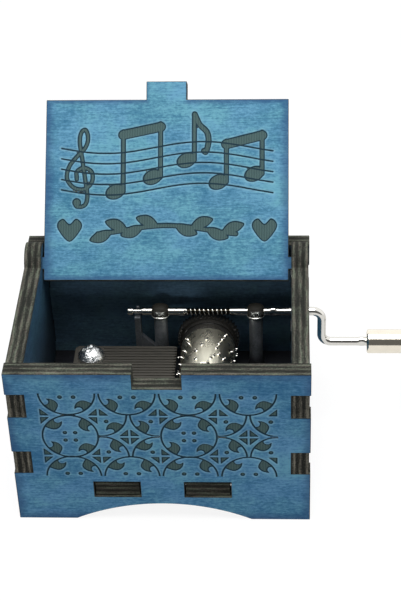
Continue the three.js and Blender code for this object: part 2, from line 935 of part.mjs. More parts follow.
function shaftRings() {
  const r = shaft.radius;
  const grooveLow = groove.centre - groove.length / 2;
  const grooveHigh = groove.centre + groove.length / 2;
  const wormStart = drum.x - worm.turns * worm.pitch / 2;
  const steps = worm.turns * facets.thread;
  const plain = [
    [shaft.leftEnd, r - groove.chamfer], [shaft.leftEnd + groove.chamfer, r],
    [grooveLow - groove.chamfer, r], [grooveLow, groove.radius],
    [grooveHigh, groove.radius], [grooveHigh + groove.chamfer, r],
    [wormStart - worm.runOut, r],
  ];
  const rings = plain.map(([x, radius]) => wireRing(x, shaftZ, 0, () => radius));
  for (let i = 0; i <= steps; i += 1) {
    const x = wormStart + i * worm.pitch / facets.thread;
    rings.push(wireRing(x, shaftZ, 0, (angle) => threadRadius(x, angle)));
  }
  rings.push(wireRing(wormStart + worm.turns * worm.pitch + worm.runOut, shaftZ, 0, plainRadius));
  return rings;
}

// A pinch that thins the wire from front to back and spreads it upwards and downwards
function earRings(middleX, z, length) {
  return Array.from({ length: facets.ear + 1 }, (_, i) => {
    const along = i / facets.ear;
    const press = Math.sin(Math.PI * along);
    return wireRing(middleX + (along - 1 / 2) * length, z, 0, (angle) => {
      const spread = (crank.earSpread - shaft.radius) * Math.sin(angle) ** 2;
      const squeeze = (shaft.radius - crank.earThickness) * Math.cos(angle) ** 2;
      return shaft.radius + press * (spread - squeeze);
    });
  });
}

// The two bends lead down from the shaft's line to the grip's line
function bentRings() {
  const r = crank.bendRadius;
  const turns = Array.from({ length: facets.bend + 1 }, (_, i) => -i * Math.PI / 2 / facets.bend);
  const upper = turns.map((turn) => {
    return wireRing(armX - r - r * Math.sin(turn), shaftZ - r + r * Math.cos(turn), turn, plainRadius);
  });
  const lower = turns.reverse().map((turn) => {
    return wireRing(armX + r + r * Math.sin(turn), gripZ + r - r * Math.cos(turn), turn, plainRadius);
  });
  return [...upper, ...lower];
}

function crankWire() {
  const stopX = sideInner - crank.stopFromWall;
  const shoulder = wireEnd - crank.headThickness;
  const headRadius = () => crank.headRadius;
  return loft([
    ...shaftRings(), ...earRings(stopX, shaftZ, crank.stopLength), ...bentRings(),
    ...earRings(earX, gripZ, crank.earLength), wireRing(shoulder, gripZ, 0, plainRadius),
    wireRing(shoulder, gripZ, 0, headRadius), wireRing(wireEnd, gripZ, 0, headRadius),
  ]);
}

function knobSleeve() {
  const bore = shaft.radius + knob.boreGap;
  const recess = crank.headRadius + knob.recessGap;
  const shoulder = knob.length - knob.recessDepth;
  const c = knob.chamfer;
  return turned([
    [bore, 0], [knob.radius - c, 0], [knob.radius, c], [knob.radius, knob.length - c],
    [knob.radius - c, knob.length], [recess, knob.length], [recess, shoulder], [bore, shoulder], [bore, 0],
  ], facets.knob).rotateZ(-Math.PI / 2);
}

// Assembly

function piece(name, geometry, material, x = 0, y = 0, z = 0) {
  const mesh = new THREE.Mesh(geometry, material);
  mesh.name = name;
  mesh.position.set(x, y, z);
  return mesh;
}

function caseGroup() {
  const group = new THREE.Group();
  group.add(
    piece('front_panel', facePanel(true), materials.bluePly, 0, -faceInner, 0),
    piece('back_panel', facePanel(false), materials.bluePly, 0, faceOuter, 0),
    piece('left_panel', sidePanel(false), materials.bluePly, -sideOuter, 0, 0),
    piece('right_panel', sidePanel(true), materials.bluePly, sideInner, 0, 0),
    piece('floor_panel', floorPanel(), materials.barePly, 0, 0, floor.bottom),
  );
  return group;
}

function lidGroup() {
  const hinge = new THREE.Group();
  hinge.position.set(0, hingeY, hingeZ);
  hinge.rotation.x = lidElevation() - Math.PI;
  hinge.add(piece('lid', lidPlate(), materials.blueLid));
  return hinge;
}

function movementGroup() {
  const group = new THREE.Group();
  const combScrewShape = screw(combScrew);
  const ballShape = shaftBall();
  group.add(
    piece('movement_bed', bedCasting(), materials.casting),
    piece('shaft_ball_left', ballShape, materials.blackResin, postXs[0], shaftY, shaftZ),
    piece('shaft_ball_right', ballShape, materials.blackResin, postXs[1], shaftY, shaftZ),
    piece('comb', combPlate(), materials.combSteel),
    piece('comb_packing', combPacking(), materials.brass),
    piece('comb_screw_rear', combScrewShape, materials.brightSteel, combScrewX, combScrewYs[0], combTop),
    piece('comb_screw_front', combScrewShape, materials.brightSteel, combScrewX, combScrewYs[1], combTop),
    piece('drum_bracket', frontBracket(), materials.casting),
    piece(
      'bracket_screw', screw(bracketScrew), materials.brightSteel,
      drum.x, bracketScrewY, bedTop + bracket.thickness,
    ),
  );
  const baseShape = screw(baseScrew).rotateX(Math.PI);
  mountSpots.forEach(([x, y], i) => {
    group.add(piece(`base_screw_${i + 1}`, baseShape, materials.brightSteel, x, y, floor.bottom));
  });
  return group;
}

function drumGroup() {
  const group = new THREE.Group();
  group.position.set(drum.x, 0, drumZ);
  group.add(
    piece('drum', drumTube(), materials.drumSteel),
    piece('drum_gear', drumGear(), materials.blackResin, 0, shaftY, 0),
    piece('drum_end_cap', frontCap(), materials.blackResin),
    piece('drum_arbor', arborRod(), materials.brightSteel),
  );
  return group;
}

function crankGroup() {
  const group = new THREE.Group();
  group.add(
    piece('crank_wire', crankWire(), materials.brightSteel),
    piece('crank_knob', knobSleeve(), materials.brightSteel, knobStart, shaftY, gripZ),
  );
  return group;
}

// The finished box stands on the ground, centred on its overall footprint

const musicBox = new THREE.Group();
musicBox.add(caseGroup(), lidGroup(), movementGroup(), drumGroup(), crankGroup());

const bounds = new THREE.Box3().setFromObject(musicBox, true);
const middle = bounds.getCenter(new THREE.Vector3());
musicBox.position.set(-middle.x, -middle.y, -bounds.min.z);

export default musicBox;
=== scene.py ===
import math

import bmesh
import bpy
import numpy as np
from mathutils import Matrix, Vector
from mathutils.geometry import delaunay_2d_cdt


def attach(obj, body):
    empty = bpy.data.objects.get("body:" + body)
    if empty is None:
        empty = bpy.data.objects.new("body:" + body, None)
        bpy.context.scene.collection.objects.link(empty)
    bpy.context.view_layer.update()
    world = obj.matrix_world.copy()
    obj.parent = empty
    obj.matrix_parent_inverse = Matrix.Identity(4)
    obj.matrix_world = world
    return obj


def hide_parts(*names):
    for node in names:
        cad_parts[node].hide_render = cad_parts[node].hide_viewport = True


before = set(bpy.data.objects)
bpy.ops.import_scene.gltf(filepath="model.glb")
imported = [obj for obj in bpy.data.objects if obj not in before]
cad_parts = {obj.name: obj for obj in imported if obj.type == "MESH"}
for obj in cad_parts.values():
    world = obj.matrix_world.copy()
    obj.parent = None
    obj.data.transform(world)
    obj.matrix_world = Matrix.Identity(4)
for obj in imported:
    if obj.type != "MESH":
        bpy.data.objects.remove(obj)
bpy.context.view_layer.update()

# Lengths below are millimetres in the case's own frame: X to the crank's side, Y to the back,
# Z up from the table, counted from the middle of the case's footprint.
CASE_TO_ROW = np.array([12.825, 10.015, 0.0])

# Case: plies, outer size, outer and inner faces of its walls, joints, and heights of its fingers
PLY, WIDTH, HEIGHT = 3.8, 64.0, 41.6
SIDE_OUT, SIDE_IN = 31.7, 27.9
FACE_OUT, FACE_IN = 24.5, 20.7
JOINT_GAP = 0.02
FINGERS = [(29.75, 35.9), (13.67, 19.82)]
FLOOR_LOW, FLOOR_TOP, BED_TOP = 6.95, 10.75, 12.85

# Lid: (y, z) of its turning line, and how far it leans back
HINGE = (16.3, 39.7)
LID_LEAN = math.radians(48.95)
LEAN_Y, LEAN_Z = math.cos(LID_LEAN), math.sin(LID_LEAN)

# Movement: (y, z) of the shaft, (x, z) of the drum's axis, and x of the posts under the balls
SHAFT = (13.9, 28.0)
DRUM = (8.95, 20.177)
DRUM_AXIS = (DRUM[0], 0, DRUM[1])
POSTS = (-1.93, 19.83)
ARBOR_BORE = 1.12
COMB_TOP, COMB_BACK, LAND_END, COMB_TIP = 21.377, -21.3, -14.9, 1.9
COMB_MID, COMB_PITCH, COMB_TEETH = 0.9, 0.94, 18
SEAT_TOP, PACKING_TOP = 19.177, 19.777

# Screws: (x, y) of each, with the radius of the bores that the base screws pass
COMB_SCREWS = ((-17.4, 5.4), (-17.4, -3.6))
BRACKET_SCREW = (DRUM[0], -13.1)
BASE_SCREWS = ((-18.6, 13.9), (-18.6, -13.0), (18.6, -13.0))
BASE_BORE = 1.45

# Crank: z of the grip, x of the arm, the bends' radius, and x of the thread, stops and grip
GRIP_Z, ARM_X, BEND = 19.2, 34.86, 2.2
THREAD, INNER_STOP, GRIP_STOP, GRIP_START, WIRE_END = (3.7, 14.2), 23.85, 44.05, 45.15, 57.3


def to_row(points):
    """Case millimetres to the row's metres."""
    return (np.asarray(points, float) - CASE_TO_ROW) / 1000


# Surfaces


def skin(rows, cols, round_rows=False, round_cols=False):
    """Quads between the neighbours of a grid of points that is counted row by row."""
    r = np.arange(rows if round_rows else rows - 1)
    c = np.arange(cols if round_cols else cols - 1)
    low, left = np.meshgrid(r, c, indexing="ij")
    high, right = (low + 1) % rows, (left + 1) % cols
    corners = [low * cols + left, low * cols + right, high * cols + right, high * cols + left]
    return np.stack(corners, -1).reshape(-1, 4).tolist()


def capped(count, sides, ring=False):
    """Faces of a row of rings of points: quads, and caps on both ends unless it closes."""
    faces = skin(count, sides, ring, True)
    if not ring:
        last = (count - 1) * sides
        faces += [list(range(sides))[::-1], list(range(last, last + sides))]
    return faces


AXES = {"x": (1, 2, 0), "y": (2, 0, 1), "z": (0, 1, 2)}


def turned(profile, axis, origin=(0, 0, 0), sides=64, ring=False):
    """A turned surface: point = origin + radius * (cos a, sin a) across the axis + along * axis,
    for each (radius, along) of the profile. Open ends are capped, and a ring's profile closes."""
    profile = np.array(profile, float)
    angle = np.arange(sides) * 2 * np.pi / sides
    points = np.zeros((len(profile), sides, 3))
    first, second, third = AXES[axis]
    points[..., first] = profile[:, :1] * np.cos(angle)
    points[..., second] = profile[:, :1] * np.sin(angle)
    points[..., third] = profile[:, 1:]
    return points.reshape(-1, 3) + np.array(origin, float), capped(len(profile), sides, ring)


def fill(loops):
    """Triangles of the area between closed loops: a constrained Delaunay net, of which the parts
    inside an odd number of loops stay. Corners are counted through all loops in turn."""
    flat = np.concatenate(loops)
    edges, start = [], 0
    for loop in loops:
        edges += [(start + i, start + (i + 1) % len(loop)) for i in range(len(loop))]
        start += len(loop)
    net = delaunay_2d_cdt([Vector(corner) for corner in flat.tolist()], edges, [], 0, 1e-6)
    spots, triangles, sources = np.array([tuple(v) for v in net[0]]), np.array(net[2]), net[3]
    odd = np.zeros(len(triangles), bool)
    for loop in loops:
        odd ^= inside(spots[triangles].mean(1), loop) < 0
    return [[sources[i][0] for i in triangle] for triangle in triangles[odd]]


def lifted(flat, t):
    """Points (a, b, t) over points (a, b)."""
    return np.concatenate([flat, np.full((len(flat), 1), float(t))], 1)


def walls(loops, offset):
    """Quads between closed loops, counted in turn, and their copies offset points further on."""
    faces, start = [], 0
    for loop in loops:
        here = start + np.arange(len(loop))
        there = start + (np.arange(len(loop)) + 1) % len(loop)
        faces += np.stack([here, there, there + offset, here + offset], -1).tolist()
        start += len(loop)
    return faces


def slab(outline, holes, low, high, place=lambda p: p):
    """A flat plate of an outline less its holes, from t = low to t = high; place(a, b, t) gives
    x, y, z."""
    loops = [np.array(loop, float) for loop in [outline, *holes]]
    flat = np.concatenate(loops)
    triangles = fill(loops)
    faces = triangles + [[i + len(flat) for i in t[::-1]] for t in triangles]
    return (place(np.concatenate([lifted(flat, low), lifted(flat, high)])),
            faces + walls(loops, len(flat)))


def arc(centre, radius, start, end, steps):
    """Points of a circular arc, in degrees."""
    a = np.radians(np.linspace(start, end, steps + 1))
    return list(zip(centre[0] + radius * np.cos(a), centre[1] + radius * np.sin(a)))


def circle(centre, radius, steps=32):
    """Points of a circle, each once."""
    return arc(centre, radius, 0, 360, steps)[:-1]


def oblong(x0, x1, y0, y1):
    """The corners of an upright oblong."""
    return [(x0, y0), (x1, y0), (x1, y1), (x0, y1)]


class Piece:
    """Collects closed surfaces, in case millimetres, into one mesh at the origin."""

    def __init__(self, name):
        self.name = name
        self.points, self.faces, self.tags, self.count = [], [], [], 0

    def add(self, points, faces, tags=None, tag=0):
        """Adds a surface; its tags number the finish of each face, or its tag that of them all."""
        self.points.append(points)
        self.faces += [[i + self.count for i in face] for face in faces]
        self.tags += tags if tags is not None else [tag] * len(faces)
        self.count += len(points)
        return self

    def finish(self, body, nodes, slot, materials, bevel=0.0, sharp=35, field=None, segments=2):
        """Makes the object, attaches it to its body and hides the solids that it replaces; its slot
        is not used. A field gives numbers to store at the mesh's points."""
        mesh = bpy.data.meshes.new(self.name)
        mesh.from_pydata(to_row(np.concatenate(self.points)).tolist(), [], self.faces)
        for material in materials:
            mesh.materials.append(material)
        mesh.polygons.foreach_set("material_index", self.tags)
        whole = bmesh.new()
        whole.from_mesh(mesh)
        bmesh.ops.remove_doubles(whole, verts=whole.verts, dist=1e-7)
        bmesh.ops.recalc_face_normals(whole, faces=whole.faces)
        whole.to_mesh(mesh)
        whole.free()
        mesh.shade_smooth()
        mesh.set_sharp_from_angle(angle=math.radians(sharp))
        if field:
            count = len(mesh.vertices)
            flat = np.empty(count * 3, np.float32)
            mesh.vertices.foreach_get("co", flat)
            for name, values in field(flat.reshape(-1, 3) * 1000 + CASE_TO_ROW).items():
                layer = mesh.attributes.new(name, "FLOAT", "POINT")
                layer.data.foreach_set("value", values.astype(np.float32))
        piece = bpy.data.objects.new(self.name, mesh)
        bpy.context.scene.collection.objects.link(piece)
        if bevel:
            edge = piece.modifiers.new("rounded edges", "BEVEL")
            edge.width = bevel / 1000
            edge.segments = segments
            edge.limit_method = "ANGLE"
            edge.angle_limit = math.radians(62)
            edge.harden_normals = True
            edge.material = 1 if len(materials) == 3 else -1
        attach(piece, body)
        if nodes:
            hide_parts(*nodes)
        return piece


# Finishes


def srgb(r, g, b):
    """An 8-bit screen colour as a linear colour."""
    c = np.array([r, g, b]) / 255
    linear = np.where(c <= 0.04045, c / 12.92, ((c + 0.055) / 1.055) ** 2.4)
    return (*linear.tolist(), 1.0)


def operator(operation, swapped=False):
    """A Signal's method for one Math node on the Signal and another number."""
    def method(self, other):
        return self.math(operation, *((other, self) if swapped else (self, other)))
    return method


class Signal:
    """A number that varies over a surface; arithmetic on it adds Math nodes."""

    def __init__(self, nodes, socket):
        self.nodes, self.socket = nodes, socket

    def math(self, operation, *values):
        return self.nodes.node("ShaderNodeMath", {"operation": operation}, values)

    __add__, __radd__ = operator("ADD"), operator("ADD", swapped=True)
    __sub__, __rsub__ = operator("SUBTRACT"), operator("SUBTRACT", swapped=True)
    __mul__, __rmul__ = operator("MULTIPLY"), operator("MULTIPLY", swapped=True)
    __pow__, least, most = operator("POWER"), operator("MINIMUM"), operator("MAXIMUM")

    def __neg__(self):
        return self * -1

    def __abs__(self):
        return self.math("ABSOLUTE", self)

    def wave(self):
        return self.math("SINE", self)

    def step(self, low, high):
        """0 below low and 1 above high, with a smooth ramp between; low may be the larger."""
        ramp = [self, low, high, 0, 1] if low < high else [self, high, low, 1, 0]
        return self.nodes.node("ShaderNodeMapRange", {"interpolation_type": "SMOOTHSTEP"}, ramp)


class Nodes:
    """Makes and links the nodes of one tree."""

    def __init__(self, tree):
        self.tree = tree

    def link(self, value, socket):
        """Gives an input socket another node's output or a plain value."""
        value = value.socket if isinstance(value, Signal) else value
        if isinstance(value, bpy.types.NodeSocket):
            self.tree.links.new(value, socket)
        else:
            socket.default_value = value

    def node(self, kind, settings=None, values=(), out=0):
        """A new node's output. Its values go to its inputs in order, or by name or number."""
        made = self.tree.nodes.new(kind)
        for key, value in (settings or {}).items():
            setattr(made, key, value)
        for key, value in values.items() if isinstance(values, dict) else enumerate(values):
            self.link(value, made.inputs[key])
        return Signal(self, made.outputs[out])

    def split(self, vector):
        """The three numbers of a vector."""
        outputs = self.node("ShaderNodeSeparateXYZ", {}, [vector]).socket.node.outputs
        return [Signal(self, output) for output in outputs]

    def ray(self, kind):
        """1 where a ray of that kind, such as Camera, meets the surface, else 0."""
        return self.node("ShaderNodeLightPath", out=f"Is {kind} Ray")


class Finish(Nodes):
    """One material under construction."""

    def __init__(self, name, **plain):
        self.material = bpy.data.materials.new(name)
        self.material.use_nodes = True
        super().__init__(self.material.node_tree)
        self.shader = self.tree.nodes["Principled BSDF"]
        for key, value in plain.items():
            self.set(key, value)

    def set(self, key, value):
        named = {socket.name.lower().replace(" ", "_"): socket for socket in self.shader.inputs}
        self.link(value, named[key])

    def place(self):
        """The case's x, y and z in millimetres, from Object coordinates."""
        spot = self.split(self.node("ShaderNodeTexCoord", out="Object"))
        return [axis * 1000 + float(shift) for axis, shift in zip(spot, CASE_TO_ROW)]

    def noise(self, spot, scales, detail=2, rough=0.5):
        """Noise as a number near 0.5, whose features are 1 / scale large along each coordinate."""
        scales = scales if isinstance(scales, tuple) else (scales,) * 3
        spot = [place * scale for place, scale in zip(spot, scales)]
        return self.node("ShaderNodeTexNoise", {}, {
            "Vector": self.node("ShaderNodeCombineXYZ", {}, spot), "Scale": 1, "Detail": detail,
            "Roughness": rough, "Distortion": 0})

    def mix(self, factor, first, second):
        """A colour between first and second."""
        values = {0: factor, 6: first, 7: second}
        return self.node("ShaderNodeMix", {"data_type": "RGBA"}, values, 2)

    def attribute(self, name):
        """A number stored on the mesh."""
        return self.node("ShaderNodeAttribute", {"attribute_name": name}, out="Fac")

    def bump(self, height, depth_mm, strength=1.0):
        values = {"Strength": strength, "Distance": depth_mm / 1000, "Height": height}
        self.set("normal", self.node("ShaderNodeBump", {}, values))
        return self


def tinted(colour, *gains):
    """A colour whose red, green and blue have a gain each, or all three the same one."""
    return (*(c * gain for c, gain in zip(colour[:3], gains * 3)), 1)


def stained_wood(name, dark, light, along, across, edge=None, engraved=False, painted_depth_shade=None):
    """Blue-stained plywood face: fine streaks along the grain, short pores, slow blotches, and
    where an engraving is stored on the mesh, its burnt lines and grey-green ground. Inside the
    case, painted shade mixes the colour towards near-black by height."""
    wood = Finish(name, specular_ior_level=0.2)
    x, y, z = wood.place()
    a, b = along(x, y, z), across(x, y, z)
    streaks, fibres, mottle, blotch, cloud, drift, pores = (
        # Scales along a and b, a place of its own in the noise, then its detail and roughness
        wood.noise((a, b, 1), scales, *kind) for scales, kind in (
            ((0.2, 2.6, 0.0), (4, 0.7)), ((0.9, 5.5, 3.0), (3, 0.7)), ((1.1, 1.5, 23.0), (3, 0.65)),
            ((0.05, 0.09, 7.0), (2,)), ((0.3, 0.3, 19.0), (3,)), ((0.11, 0.16, 31.0), (3,)),
            ((0.9, 6.0, 11.0), (1,))))
    drift, pores = drift.step(0.38, 0.62), pores.step(0.66, 0.78)
    tone = (streaks * 1.3 + fibres * 1.0 + mottle * 1.3 + blotch * 1.1 + cloud * 0.7
            - 2.2).step(0.0, 1.0)
    violet, teal = tinted(light, 0.99, 0.95, 1.04), tinted(light, 1.04, 1.05, 0.98)
    colour = wood.mix(tone, dark, wood.mix(drift, violet, teal))
    colour = wood.mix(pores * 0.3, colour, tinted(dark, 0.5))
    # Painted shade: inside the case the colour is mixed towards near-black by height.
    if painted_depth_shade is not None:
        colour = wood.mix(painted_depth_shade(x, y, z), colour, DEEP_SHADE)
    if edge is not None:
        burnt = (edge(a, b) + (cloud - 0.5) * 1.6 + (streaks - 0.5) * 0.9).step(2.6, 0.0)
        colour = wood.mix(burnt * 0.7, colour, EDGE_STAIN)
    grain = streaks * 0.5 + fibres * 0.5 - pores * 0.6
    if engraved:
        hollow = wood.attribute("ground")
        burn = wood.attribute("burn")
        halo = hollow.least(burn).step(0.55, 0.12) * 0.22
        colour = wood.mix(halo, colour, HALO)
        hatch = (a * 11.0 + streaks * 6.0).wave() * 0.5 + 0.5
        ground = wood.mix(hatch * 0.4 + fibres * 0.5 + cloud * 0.2, GROUND_DARK, GROUND_LIGHT)
        colour = wood.mix(hollow.step(0.06, -0.03), colour, BURNT_LINE)
        colour = wood.mix(hollow.step(-0.17, -0.33), colour, ground)
        colour = wood.mix(burn.step(0.05, -0.06), colour, BURNT_LINE)
        grain = grain + hollow.step(-0.1, -0.2) * hatch * 0.5
    wood.set("base_color", colour)
    wood.set("roughness", 0.66 + streaks * 0.14)
    return wood.bump(grain, 0.05, 0.6).material


EDGE_STAIN = srgb(40, 70, 108)
HALO = srgb(142, 182, 196)
GROUND_DARK, GROUND_LIGHT = srgb(34, 55, 58), srgb(72, 94, 93)
BURNT_LINE = srgb(12, 38, 50)
DEEP_SHADE = srgb(14, 17, 22)


def cut_edge(name, through, along, ends=None, painted_dimming=1.0):
    """A laser-cut plywood edge: three browned plies between charred glue lines, streaked along
    the cut, with soot in patches. The ends that face front and back are evener."""
    wood = Finish(name, specular_ior_level=0.12)
    x, y, z = wood.place()
    t, s = through(x, y, z), along(x, y, z)
    sway, fibres, threads, specks, soot, warmth = (
        wood.noise((s, t, 1), scales, *kind) for scales, kind in (
            ((0.09, 0.4, 2.0), (2,)), ((0.22, 3.4, 5.0), (4, 0.75)), ((0.5, 9.0, 21.0), (2, 0.7)),
            ((2.2, 3.0, 15.0), (3, 0.7)), ((0.13, 0.4, 9.0), (3,)), ((0.3, 1.6, 27.0), (3,))))
    depth = t + (sway * 0.5 - 0.25)
    # Crests 0.45, 1.9 and 3.35 mm deep, in the middle of each ply
    plies, off_middle = (depth * 4.333 - 0.379).wave(), abs(depth - PLY / 2)
    pale = (plies * 0.24 + fibres * 1.1 + threads * 0.7 + soot * 0.9 + specks * 0.9 - 1.5
            - off_middle.step(0.75, 0.3) * 0.1 - t.step(3.1, 3.6) * 0.25).step(0.0, 1.0)
    # Painted shade: a gain below 1 darkens the whole edge, for edges that lie in shade.
    low = tinted(srgb(33, 34, 31), painted_dimming)
    green, brown = tinted(srgb(114, 121, 106), painted_dimming), tinted(srgb(107, 102, 94), painted_dimming)
    colour = wood.mix(pale, low, wood.mix(warmth.step(0.36, 0.64), green, brown))
    if ends is not None:
        browned = wood.mix(pale, srgb(26, 27, 25), srgb(122, 119, 108))
        colour = wood.mix(ends(x, y, z), colour, browned)
    wood.set("base_color", colour)
    wood.set("roughness", 0.85)
    return wood.bump(fibres * 0.7 + plies * 0.15 + specks * 0.3, 0.12, 0.7).material


def bright_metal(name, colour, roughness, scratch=0.0, direction=(0.3, 9.0, 9.0), groove=0.01,
                 painted_shade_mask=None):
    """Polished or brushed metal with faint marks along one direction, and painted shade where a
    mask is given.
    """
    metal = Finish(name, metallic=1.0)
    spot = metal.place()
    marks, smear = metal.noise(spot, direction, 3, 0.6), metal.noise(spot, 0.35)
    tone = metal.mix(smear * 0.7 + marks * scratch, colour, tinted(colour, 0.8))
    # Painted shade: brown-black where the mask is 1.
    if painted_shade_mask is not None:
        tone = metal.mix(painted_shade_mask(*spot), tone, srgb(62, 56, 44))
    metal.set("base_color", tone)
    metal.set("roughness", marks * scratch + smear * 0.08 + (roughness - 0.04))
    return metal.bump(marks, groove, 0.3 + scratch).material


def cast_metal(name, colour, pale):
    """Die-cast metal with a faintly mottled, satin skin, painted darker near the bed for the shade
    low in the case.
    """
    metal = Finish(name, metallic=0.75)
    spot = metal.place()
    fine, cloud = metal.noise(spot, 2.2, 4, 0.65), metal.noise(spot, 0.25)
    shade = metal.mix((fine * 0.5 + cloud * 0.7).step(0.35, 0.85), colour, pale)
    # Painted shade: the colour goes near black towards the bed, below z 18.
    metal.set("base_color", metal.mix(spot[2].step(18.0, 13.0) * 0.9, shade, DEEP_SHADE))
    metal.set("roughness", fine * 0.2 + 0.36)
    return metal.bump(fine, 0.03, 0.5).material


def capped_ball(name):
    """A dented ball drawn with painted light: dull black above, where the ball reflects only shade,
    and a patch of steel low in front, near its middle, placed where it glints. off_post is the
    distance from the nearer post along the shaft."""
    ball = Finish(name, specular_ior_level=0.08)
    x, y, z = ball.place()
    dents = ball.noise((x, y, z), (1.5, 1.5, 2.4), 2, 0.6)
    off_post = abs(abs(x - sum(POSTS) / 2) - (POSTS[1] - POSTS[0]) / 2)
    # Painted glint: the steel patch sits low in front, near the ball's middle, where the glints
    # fall.
    glint_patch = (z + (dents - 0.5) * 0.8).step(SHAFT[1] + 1.1, SHAFT[1] + 0.6) * off_post.step(1.5, 0.8)
    steel = ball.mix(dents.step(0.35, 0.65), srgb(78, 80, 78), srgb(150, 153, 148))
    ball.set("base_color", ball.mix(glint_patch, srgb(42, 41, 37), steel))
    ball.set("metallic", glint_patch)
    ball.set("roughness", 0.55 - glint_patch * 0.37)
    return ball.bump(dents * glint_patch, 0.6, 1.0).material


def gloss_resin(name, colour, roughness=0.16):
    """Moulded black resin with a soft polish."""
    resin = Finish(name, coat_weight=0.5, coat_roughness=0.08, ior=1.5)
    fine = resin.noise(resin.place(), 1.6, 3)
    resin.set("base_color", resin.mix(fine, colour, tinted(colour, 2.2)))
    resin.set("roughness", fine * 0.1 + roughness)
    return resin.bump(fine, 0.01, 0.3).material


# Engravings


def to_line(p, a, b):
    """Distance from each point to the segment a-b: the point less its nearest place on it."""
    a, b = np.array(a, float), np.array(b, float)
    run = b - a
    share = np.clip(((p - a) @ run) / (run @ run), 0, 1)
    return np.hypot(*(p - a - share[..., None] * run).T).T


def stroke(p, path, width):
    """Signed distance to a round-ended stroke of the given width along a path."""
    return np.min([to_line(p, a, b) for a, b in zip(path, path[1:])], axis=0) - width / 2


def inside(p, outline):
    """Signed distance to a closed outline, negative inside it: the nearest edge's distance, with
    its sign from how often a level ray crosses the outline."""
    loop = np.array(outline, float)
    near = np.full(len(p), 99.0)
    odd = np.zeros(len(p), bool)
    for a, b in zip(loop, np.roll(loop, -1, axis=0)):
        near = np.minimum(near, to_line(p, a, b))
        crossing = (a[1] > p[:, 1]) != (b[1] > p[:, 1])
        slope = (b[0] - a[0]) / (b[1] - a[1] if b[1] != a[1] else 1e-9)
        odd ^= crossing & (p[:, 0] < a[0] + slope * (p[:, 1] - a[1]))
    return np.where(odd, -near, near)


def smooth_loop(points, steps=5):
    """A closed Catmull-Rom curve through the points."""
    p = np.array(points, float)
    before, after, beyond = np.roll(p, 1, 0), np.roll(p, -1, 0), np.roll(p, -2, 0)
    t = (np.arange(steps) / steps)[None, :, None]
    b, p0, p1, a = (q[:, None] for q in (before, p, after, beyond))
    curve = 0.5 * (2 * p0 + (p1 - b) * t + (2 * b - 5 * p0 + 4 * p1 - a) * t ** 2
                   + (3 * p0 - b - 3 * p1 + a) * t ** 3)
    return curve.reshape(-1, 2)


def turn(points, degrees):
    """Points turned about the origin."""
    c, s = math.cos(math.radians(degrees)), math.sin(math.radians(degrees))
    p = np.array(points, float)
    return np.stack([c * p[:, 0] - s * p[:, 1], s * p[:, 0] + c * p[:, 1]], 1)


def nearby(p, centre, reach, values, shape):
    """Lowers values where shape's signed distance is less, looking only at points near centre."""
    close = np.hypot(p[:, 0] - centre[0], p[:, 1] - centre[1]) < reach
    values[close] = np.minimum(values[close], shape(p[close]))


# Lattice: the fish-tail leaf at the lower left of a circle, counted from its centre; the circles'
# places and radius; the heights of the rows; and the width of a burnt line
LEAF = [(-5.1, -3.1), (-4.65, -3.15), (-4.2, -3.0), (-3.95, -2.6), (-3.92, -2.15), (-4.1, -1.8),
        (-4.35, -1.5), (-3.75, -1.5), (-3.0, -1.75), (-2.35, -2.3), (-1.98, -3.0), (-2.02, -3.7),
        (-2.3, -4.4), (-2.62, -5.0), (-2.66, -5.4), (-3.5, -4.9), (-4.3, -4.2), (-4.8, -3.6)]
LATTICE_X, LATTICE_PITCH, RING = -18.98, 12.62, 5.92
ROW_TOP, ROW_MID, ROW_LOW = 36.4, 24.3, 12.55
SUB_HIGH, SUB_LOW = 30.35, 18.35
LINE = 0.4
QUADRANTS = ((1, 1), (1, -1), (-1, 1), (-1, -1))

# The signed distance that stands for no engraving near
FAR = 9.0


